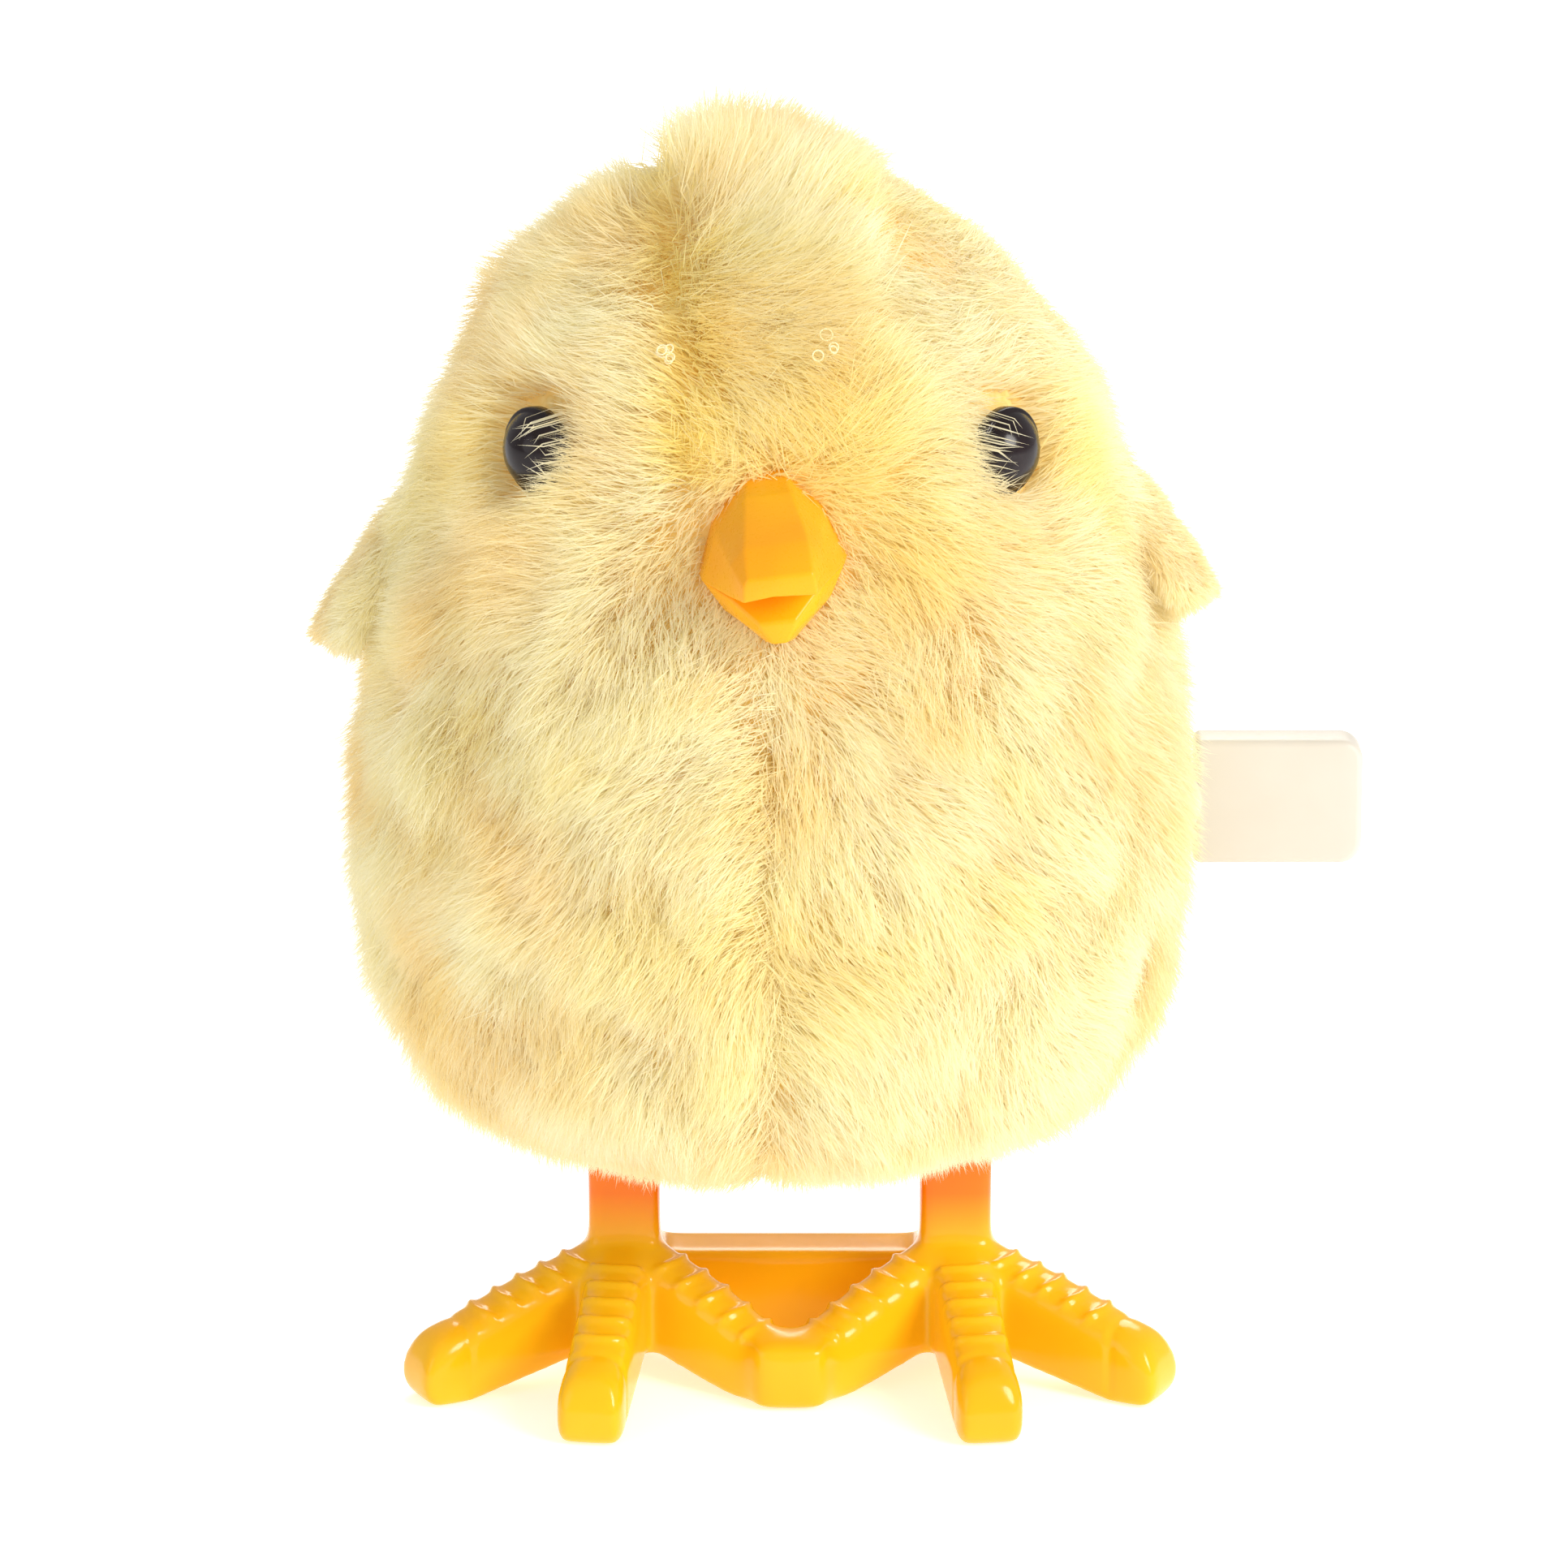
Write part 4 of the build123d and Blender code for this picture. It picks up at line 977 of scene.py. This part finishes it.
# %% Eyes
# each outline point is a distance ahead of the rim and a radius, in mm
EYE_DOME = [(1.70, 0.0), (1.66, 0.5), (1.52, 1.0), (1.28, 1.5), (0.92, 2.0), (0.62, 2.3), (0.26, 2.56)]
EYE_RIM = [(0.16, 2.62), (0.14, 2.72), (0.10, 2.82), (0.0, 2.89), (-0.3, 2.9), (-0.7, 2.86), (-0.8, 2.7)]
EYE_STEM = [(-0.8, 0.8), (-4.6, 0.75), (-4.7, 0.0)]
DOME_HEIGHT = EYE_DOME[0][0]
TURNS = 64


def spun(name, outline, start, axis, material, body):
    """A piece turned about an axis from (distance along it, radius) points that start and end on it."""
    axis = np.array(axis) / np.linalg.norm(axis)
    side = unit(np.cross(axis, (0.0, 0.0, 1.0) if abs(axis[2]) < 0.9 else (1.0, 0.0, 0.0)))
    other = np.cross(axis, side)
    angles = np.arange(TURNS) * 2 * math.pi / TURNS
    ring = np.cos(angles)[:, None] * side + np.sin(angles)[:, None] * other
    points, faces = [start + axis * outline[0][0] * MM], []
    for ahead_by, radius in outline[1:-1]:
        points += list(start + axis * ahead_by * MM + ring * radius * MM)
    points.append(start + axis * outline[-1][0] * MM)
    for i in range(TURNS):
        j = (i + 1) % TURNS
        faces.append((0, 1 + j, 1 + i))
        for level in range(len(outline) - 3):
            low, high = 1 + level * TURNS, 1 + (level + 1) * TURNS
            faces.append((low + i, low + j, high + j, high + i))
        faces.append((len(points) - 1, len(points) - 1 - TURNS + i, len(points) - 1 - TURNS + j))
    mesh = mesh_of(name, shape_of(points, faces))
    smooth_faces(mesh)
    print(name, len(faces), "faces")
    return new_object(name, mesh, material, body)


for name, (top, outwards) in eyes.items():
    outline, rim = EYE_DOME + EYE_RIM + EYE_STEM, top - outwards * DOME_HEIGHT * MM
    button = spun(f"{name}_button", outline, rim, outwards, bead_material, "chassis")
    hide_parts(name)

# %% [markdown]
# ### Strands
# Long strands of pile beside each eye cross its inner edge; without them the buttons would look stuck on.
# Each strand rises beside the rim and bends over it.

# %% Strands across the eyes
STRANDS = 26
UP = np.array([0.0, 0.0, 1.0])


def eye_strands(name, top, outwards):
    """Strands on the side of an eye that is nearer the beak."""
    inner = unit(np.cross(outwards, UP))
    inner = inner * np.sign(inner[0] * (EGG_CENTRE[0] - top[0]))
    angle = draw.uniform(-1.25, 1.25, STRANDS)
    ray = inner * np.cos(angle)[:, None] + UP * np.sin(angle)[:, None]
    start = top - outwards * 2.6 * MM + ray * 3.3 * MM
    lift = draw.uniform(0.9, 1.5, STRANDS)[:, None]
    middle = start + unit(outwards * lift - ray * 0.15) * 2.6 * MM
    bent = unit(outwards * 0.35 - ray + draw.normal(size=(STRANDS, 3)) * 0.35)
    tip = middle + bent * (draw.uniform(0.8, 2.2, STRANDS)[:, None] * MM)
    across = unit(np.cross(tip - start, outwards + draw.normal(size=(STRANDS, 3)) * 0.2))
    facing = np.tile(outwards, (STRANDS, 1))
    numbers = {"tone": np.ones(STRANDS), "yolk": np.zeros(STRANDS)}
    mesh = fibre_mesh(f"strands_{name}", start, middle, tip, across, facing, numbers)
    new_object(f"strands_{name}", mesh, pile_material, "chassis")
    print(mesh.name, STRANDS, "strands")


for name, (top, outwards) in eyes.items():
    eye_strands(name, top, outwards)

# %% [markdown]
# ### Stitches
# On the forehead the sewing thread shows as two little knots of loops, one near each edge of the gusset.
# Each loop is a ring of thread, about a tenth of a millimetre thick, standing in the pile at a slant of its
# own.

# %% Stitches
THREAD = 0.06 * MM
LOOP_SPOTS = [(-5.6, 73.2), (3.0, 73.6)]  # sideways from the body's axis and height, in mm
LOOPS_AT_SPOT = 5
RING_STEPS = 20
THREAD_SIDES = 6
stitch_points, stitch_faces = [], []


def front_place(across_by, height, lift):
    """Place and normal on the egg's front, from millimetres sideways and up."""
    far = np.interp(height * MM, egg_at(DOWN[::-1], np.zeros(BINS))[0][:, 2], DOWN[::-1])
    ring_radius = np.interp(far, DOWN, REACH) * math.sin(far)
    around = math.asin(across_by * MM / ring_radius)
    place, normal, _, _ = egg_at(np.array([far]), np.array([around]), lift)
    return place[0], normal[0]


def thread_ring(centre, radius, first, second):
    """Adds a ring of thread that runs from the first direction towards the second."""
    base, flat = len(stitch_points), unit(np.cross(first, second))
    for step in range(RING_STEPS):
        turn = step * 2 * math.pi / RING_STEPS
        ray = first * math.cos(turn) + second * math.sin(turn)
        after = (step + 1) % RING_STEPS
        for part in range(THREAD_SIDES):
            bend = part * 2 * math.pi / THREAD_SIDES
            offset = ray * math.cos(bend) + flat * math.sin(bend)
            stitch_points.append(tuple(centre + ray * radius + offset * THREAD))
            beside = (part + 1) % THREAD_SIDES
            corners = (step, part), (step, beside), (after, beside), (after, part)
            stitch_faces.append([base + row * THREAD_SIDES + column for row, column in corners])


for across_by, height in LOOP_SPOTS:
    place, normal = front_place(across_by, height, 3.0 * MM)
    for _ in range(LOOPS_AT_SPOT):
        centre = place + draw.normal(size=3) * 0.5 * MM
        radius = draw.uniform(0.25, 0.5) * MM
        first = unit(np.cross(normal, draw.normal(size=3)))
        second = unit(np.cross(normal, first) + normal * draw.uniform(-0.5, 0.5))
        thread_ring(centre, radius, first, second)
stitch_mesh = bpy.data.meshes.new("stitches")
stitch_mesh.from_pydata(stitch_points, [], stitch_faces)
smooth_faces(stitch_mesh)
new_object("stitches", stitch_mesh, thread_material, "chassis")
print("stitches:", len(LOOP_SPOTS) * LOOPS_AT_SPOT, "loops")

# %% [markdown]
# ## Beak
# The beak is one moulding glued into the cover: an upper mandible with a flat bridge down its middle and a
# shorter lower one that hangs open. Each is a row of sections, joined face to face, with all its edges
# softened by a bevel. It was glued in a little crooked, so the whole piece is rolled a few degrees.

# %% Beak
BEAK_ROLL = math.radians(7)
BEAK_EDGE = 0.22 * MM
UPPER_STEPS = [
    # distance ahead, then corners (sideways, up): two of the bridge, then round the side and underside; mm
    (-3.0, [(-0.9, 5.3), (1.1, 5.3), (3.6, 2.9), (5.3, -0.9), (0.0, -0.9), (-5.3, -0.9), (-3.6, 2.9)]),
    (3.2, [(-1.2, 4.1), (1.8, 4.1), (3.5, 2.0), (4.6, -1.0), (0.0, -1.0), (-4.6, -1.0), (-3.3, 2.0)]),
    (7.4, [(-1.5, 1.9), (2.6, 1.9), (3.0, 0.9), (3.3, -1.1), (0.0, -0.9), (-2.9, -1.1), (-2.5, 0.9)]),
    (9.3, [(-1.5, 0.3), (2.7, 0.3), (2.8, -0.2), (2.8, -1.2), (0.0, -1.0), (-1.9, -1.2), (-1.8, -0.2)]),
]
LOWER_STEPS = [
    (-3.0, [(5.3, -0.9), (4.0, -3.0), (1.2, -5.2), (-1.2, -5.2), (-4.0, -3.0), (-5.3, -0.9)]),
    (3.0, [(4.5, -1.0), (3.4, -3.0), (1.0, -5.1), (-1.0, -5.1), (-3.4, -3.0), (-4.5, -1.0)]),
    (5.4, [(3.0, -1.6), (2.4, -3.2), (0.8, -4.9), (-0.8, -4.9), (-2.4, -3.2), (-3.0, -1.6)]),
    (7.0, [(1.2, -3.2), (1.0, -3.8), (0.5, -4.6), (-0.5, -4.6), (-1.0, -3.8), (-1.2, -3.2)]),
]


def mandible(shape, steps):
    """Adds one closed row of sections to a shape."""
    rings = []
    for ahead_by, section in steps:
        ring = []
        for x, z in section:
            rolled_x = x * math.cos(BEAK_ROLL) - z * math.sin(BEAK_ROLL)
            rolled_z = x * math.sin(BEAK_ROLL) + z * math.cos(BEAK_ROLL)
            ring.append(shape.verts.new(Vector(beak_centre) + Vector((rolled_x, -ahead_by, rolled_z)) * MM))
        rings.append(ring)
    for near_ring, far_ring in zip(rings, rings[1:]):
        for i in range(len(near_ring)):
            j = (i + 1) % len(near_ring)
            shape.faces.new((near_ring[i], near_ring[j], far_ring[j], far_ring[i]))
    shape.faces.new(rings[0][::-1])
    shape.faces.new(rings[-1])


shape = bmesh.new()
mandible(shape, UPPER_STEPS)
mandible(shape, LOWER_STEPS)
beak = new_object("beak_moulding", mesh_of("beak_moulding", shape), beak_material, "chassis")
round_edges(beak, BEAK_EDGE, 4, sharper_than=12)
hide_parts("beak")

# %% [markdown]
# ## Winding knob
# The knob is a flat white paddle on a round neck. Its two outer corners are well rounded and every edge is
# eased, as on any small moulding that fingers turn. The paddle is a rounded outline given thickness and
# then bevelled; the neck is spun.

# %% Winding knob
KNOB_CORNER = 1.5 * MM
KNOB_EDGE = 0.5 * MM
PADDLE_LENGTH = 11.4 * MM
# each outline point is a distance from the neck's inner end and a radius, in mm
NECK_OUTLINE = [(0.0, 0.0), (0.0, 2.3), (0.2, 2.5), (13.6, 2.5), (14.4, 2.1), (14.8, 1.6), (14.8, 0.0)]
paddle_thick = (knob_high[1] - knob_low[1]) * 0.64
knob_half = (knob_high[2] - knob_low[2]) / 2


def rounded_outline(start_x, end_x, half, corner, steps=8):
    """A rectangle in X and Z whose two outer corners are quarter circles."""
    outline = [(start_x, -half), (end_x - corner, -half)]
    for turn, centre_z in ((-90, -half + corner), (0, half - corner)):
        for step in range(1, steps + 1):
            angle = math.radians(turn + 90 * step / steps)
            outline.append((end_x - corner + corner * math.cos(angle), centre_z + corner * math.sin(angle)))
    return [*outline, (start_x, half)]


shape = bmesh.new()
profile = rounded_outline(knob_high[0] - PADDLE_LENGTH, knob_high[0], knob_half, KNOB_CORNER)
flat = [shape.verts.new((x, knob_axis[1] - paddle_thick / 2, knob_axis[2] + z)) for x, z in profile]
face = shape.faces.new(flat)
raised = bmesh.ops.extrude_face_region(shape, geom=[face])
for vertex in (v for v in raised["geom"] if isinstance(v, bmesh.types.BMVert)):
    vertex.co.y += paddle_thick
paddle = new_object("knob_paddle", mesh_of("knob_paddle", shape), knob_material, "winding")
round_edges(paddle, KNOB_EDGE, 5, sharper_than=35)
neck_start = np.array([knob_low[0] + 0.1 * MM, knob_axis[1], knob_axis[2]])
neck = spun("knob_neck", NECK_OUTLINE, neck_start, (1, 0, 0), knob_material, "winding")
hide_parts("winding_knob")
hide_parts("winding_knob")

# %% [markdown]
# ## Feet
# Both legs, six toes and the heel bar are one moulding with soft fillets everywhere and horny ribs across
# every toe. The CAD solid has the sizes but sharp inner corners, so it is cut in two at the belly. The
# upper part, with the plates that carry the pivots, stays exactly as it is: it hardly shows, and the pivots
# have to fit. The lower part is shaped further below.

# %% Cut the feet from the leg plates
FEET_SEAM = 17.0 * MM  # height where the moulding passes into the belly


def cut_feet(name, keep_lower):
    """The feet's mesh below or above the seam, closed."""
    shape = bmesh.new()
    shape.from_mesh(nodes["legs_and_feet"].data)
    bmesh.ops.remove_doubles(shape, verts=shape.verts, dist=1e-7)
    everything = [*shape.verts, *shape.edges, *shape.faces]
    cut = bmesh.ops.bisect_plane(
        shape,
        geom=everything,
        plane_co=(0, 0, FEET_SEAM),
        plane_no=(0, 0, 1),
        clear_outer=keep_lower,
        clear_inner=not keep_lower,
    )
    rim = [e for e in cut["geom_cut"] if isinstance(e, bmesh.types.BMEdge)]
    bmesh.ops.edgeloop_fill(shape, edges=rim)
    return new_object(name, mesh_of(name, shape), feet_material, "feet")


feet = cut_feet("feet_moulding", keep_lower=True)

# %% [markdown]
# ### Fillets
# A voxel remesh turns the lower part into small even faces, and smoothing those rounds every corner into a
# fillet. Vertex groups say how strongly: not at all at the cut, fully from four millimetres below it, and
# for many more rounds at the pad where the two inner toes join.

# %% Fillets
FEET_VOXEL = 0.22 * MM
FADE = 4 * MM  # depth below the cut over which the smoothing sets in
PAD_RADIUS = 4.6 * MM
SOFT_ROUNDS = 80
PAD_ROUNDS = 160

remesh = feet.modifiers.new("small_faces", "REMESH")
remesh.mode = "VOXEL"
remesh.voxel_size = FEET_VOXEL
apply_modifiers(feet)
heights = np.array([v.co.z for v in feet.data.vertices])
from_pad = np.array([math.hypot(v.co.x, v.co.y) for v in feet.data.vertices])
depth_share = np.clip((FEET_SEAM - heights) / FADE, 0, 1)
pad_share = np.exp(-((from_pad / PAD_RADIUS) ** 2))


def soften(name, shares, lowest, rounds):
    """Smooths the feet where shares is high, in ten levels of strength."""
    group = feet.vertex_groups.new(name=name)
    for level in range(lowest, 11):
        chosen = np.nonzero(np.abs(shares - level / 10) <= 0.05)[0]
        group.add(chosen.tolist(), level / 10, "REPLACE")
    smoothing = feet.modifiers.new(f"{name}_fillets", "SMOOTH")
    smoothing.factor = 0.5
    smoothing.iterations = rounds
    smoothing.vertex_group = name


soften("soft", depth_share, 0, SOFT_ROUNDS)
soften("pad", pad_share, 1, PAD_ROUNDS)
apply_modifiers(feet)
print("feet", len(feet.data.vertices), "vertices after smoothing")

# %% [markdown]
# ### Ribs
# Each toe has bowed ribs across its top and a claw at its end, set off by a groove. They are pressed out by
# moving each vertex along its own normal. How far depends on two distances: along the toe, which makes the
# ribs repeat, and across it, which bows them and ends them before the toe's flank.

# %% Ribs and claws
TOES = [(2.2, -16.0), (14.2, -7.4), (-11.3, -7.4)]  # tips from a leg's centre, outwards and along Y, in mm
RIB_HEIGHT = 0.28 * MM
CLAW_STEP = 0.10 * MM
RIB_PITCH = 1.75
RIB_BOW = 0.22
RIB_HALF_WIDTH = 1.75


def press_ribs(mesh):
    """Moves the vertices on top of each toe out in bowed ribs, with a groove behind the claw.

    s is a distance along a toe and u one across it, both in mm.
    """
    count = len(mesh.vertices)
    place, normal = np.empty(count * 3), np.empty(count * 3)
    mesh.vertices.foreach_get("co", place)
    mesh.vertices.foreach_get("normal", normal)
    place, normal = place.reshape(-1, 3), normal.reshape(-1, 3)
    lift = np.zeros(count)
    for side in (-1, 1):
        for out_by, back_by in TOES:
            tip = np.array([side * out_by, back_by])
            length = np.linalg.norm(tip)
            axis = tip / length
            from_leg = place[:, :2] / MM - (side * LEG_X / MM, LEG_Y / MM)
            s = from_leg @ axis
            u = from_leg @ (-axis[1], axis[0])
            joined = back_by > -8 and out_by < 0
            last = length - (2.2 if joined else 3.6)
            width = np.clip((RIB_HALF_WIDTH + 0.25 - np.abs(u)) / 0.5, 0, 1)
            top = width * np.clip((normal[:, 2] - 0.15) / 0.35, 0, 1) * (place[:, 2] > 2.5 * MM)
            reach = np.clip((s - 3.0) / 0.8, 0, 1) * np.clip((last - s) / 0.4, 0, 1)
            phase = (s + RIB_BOW * u**2) / RIB_PITCH
            saw = phase - np.floor(phase)
            rib = np.exp(-(((saw - 0.5) / 0.17) ** 2))
            lift += RIB_HEIGHT * rib * top * reach
            if not joined:
                around_tip = np.clip((normal[:, 2] + 0.5) / 0.6, 0, 1) * (np.abs(u) < 2.6)
                lift += CLAW_STEP * np.exp(-(((s - length + 1.6) / 1.2) ** 2)) * around_tip
                lift -= CLAW_STEP * np.exp(-(((s - length + 3.3) / 0.35) ** 2)) * around_tip
    place += normal * lift[:, None]
    place[:, 2] = np.maximum(place[:, 2], 0.0)
    mesh.vertices.foreach_set("co", place.ravel())
    mesh.update()
    print("ribs pressed up to", round(float(lift.max()) * 1000, 2), "mm")


press_ribs(feet.data)
smooth_faces(feet.data)
plates = cut_feet("leg_plates", keep_lower=False)
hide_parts("legs_and_feet")
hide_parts("legs_and_feet")
print("feet", len(feet.data.polygons), "faces")
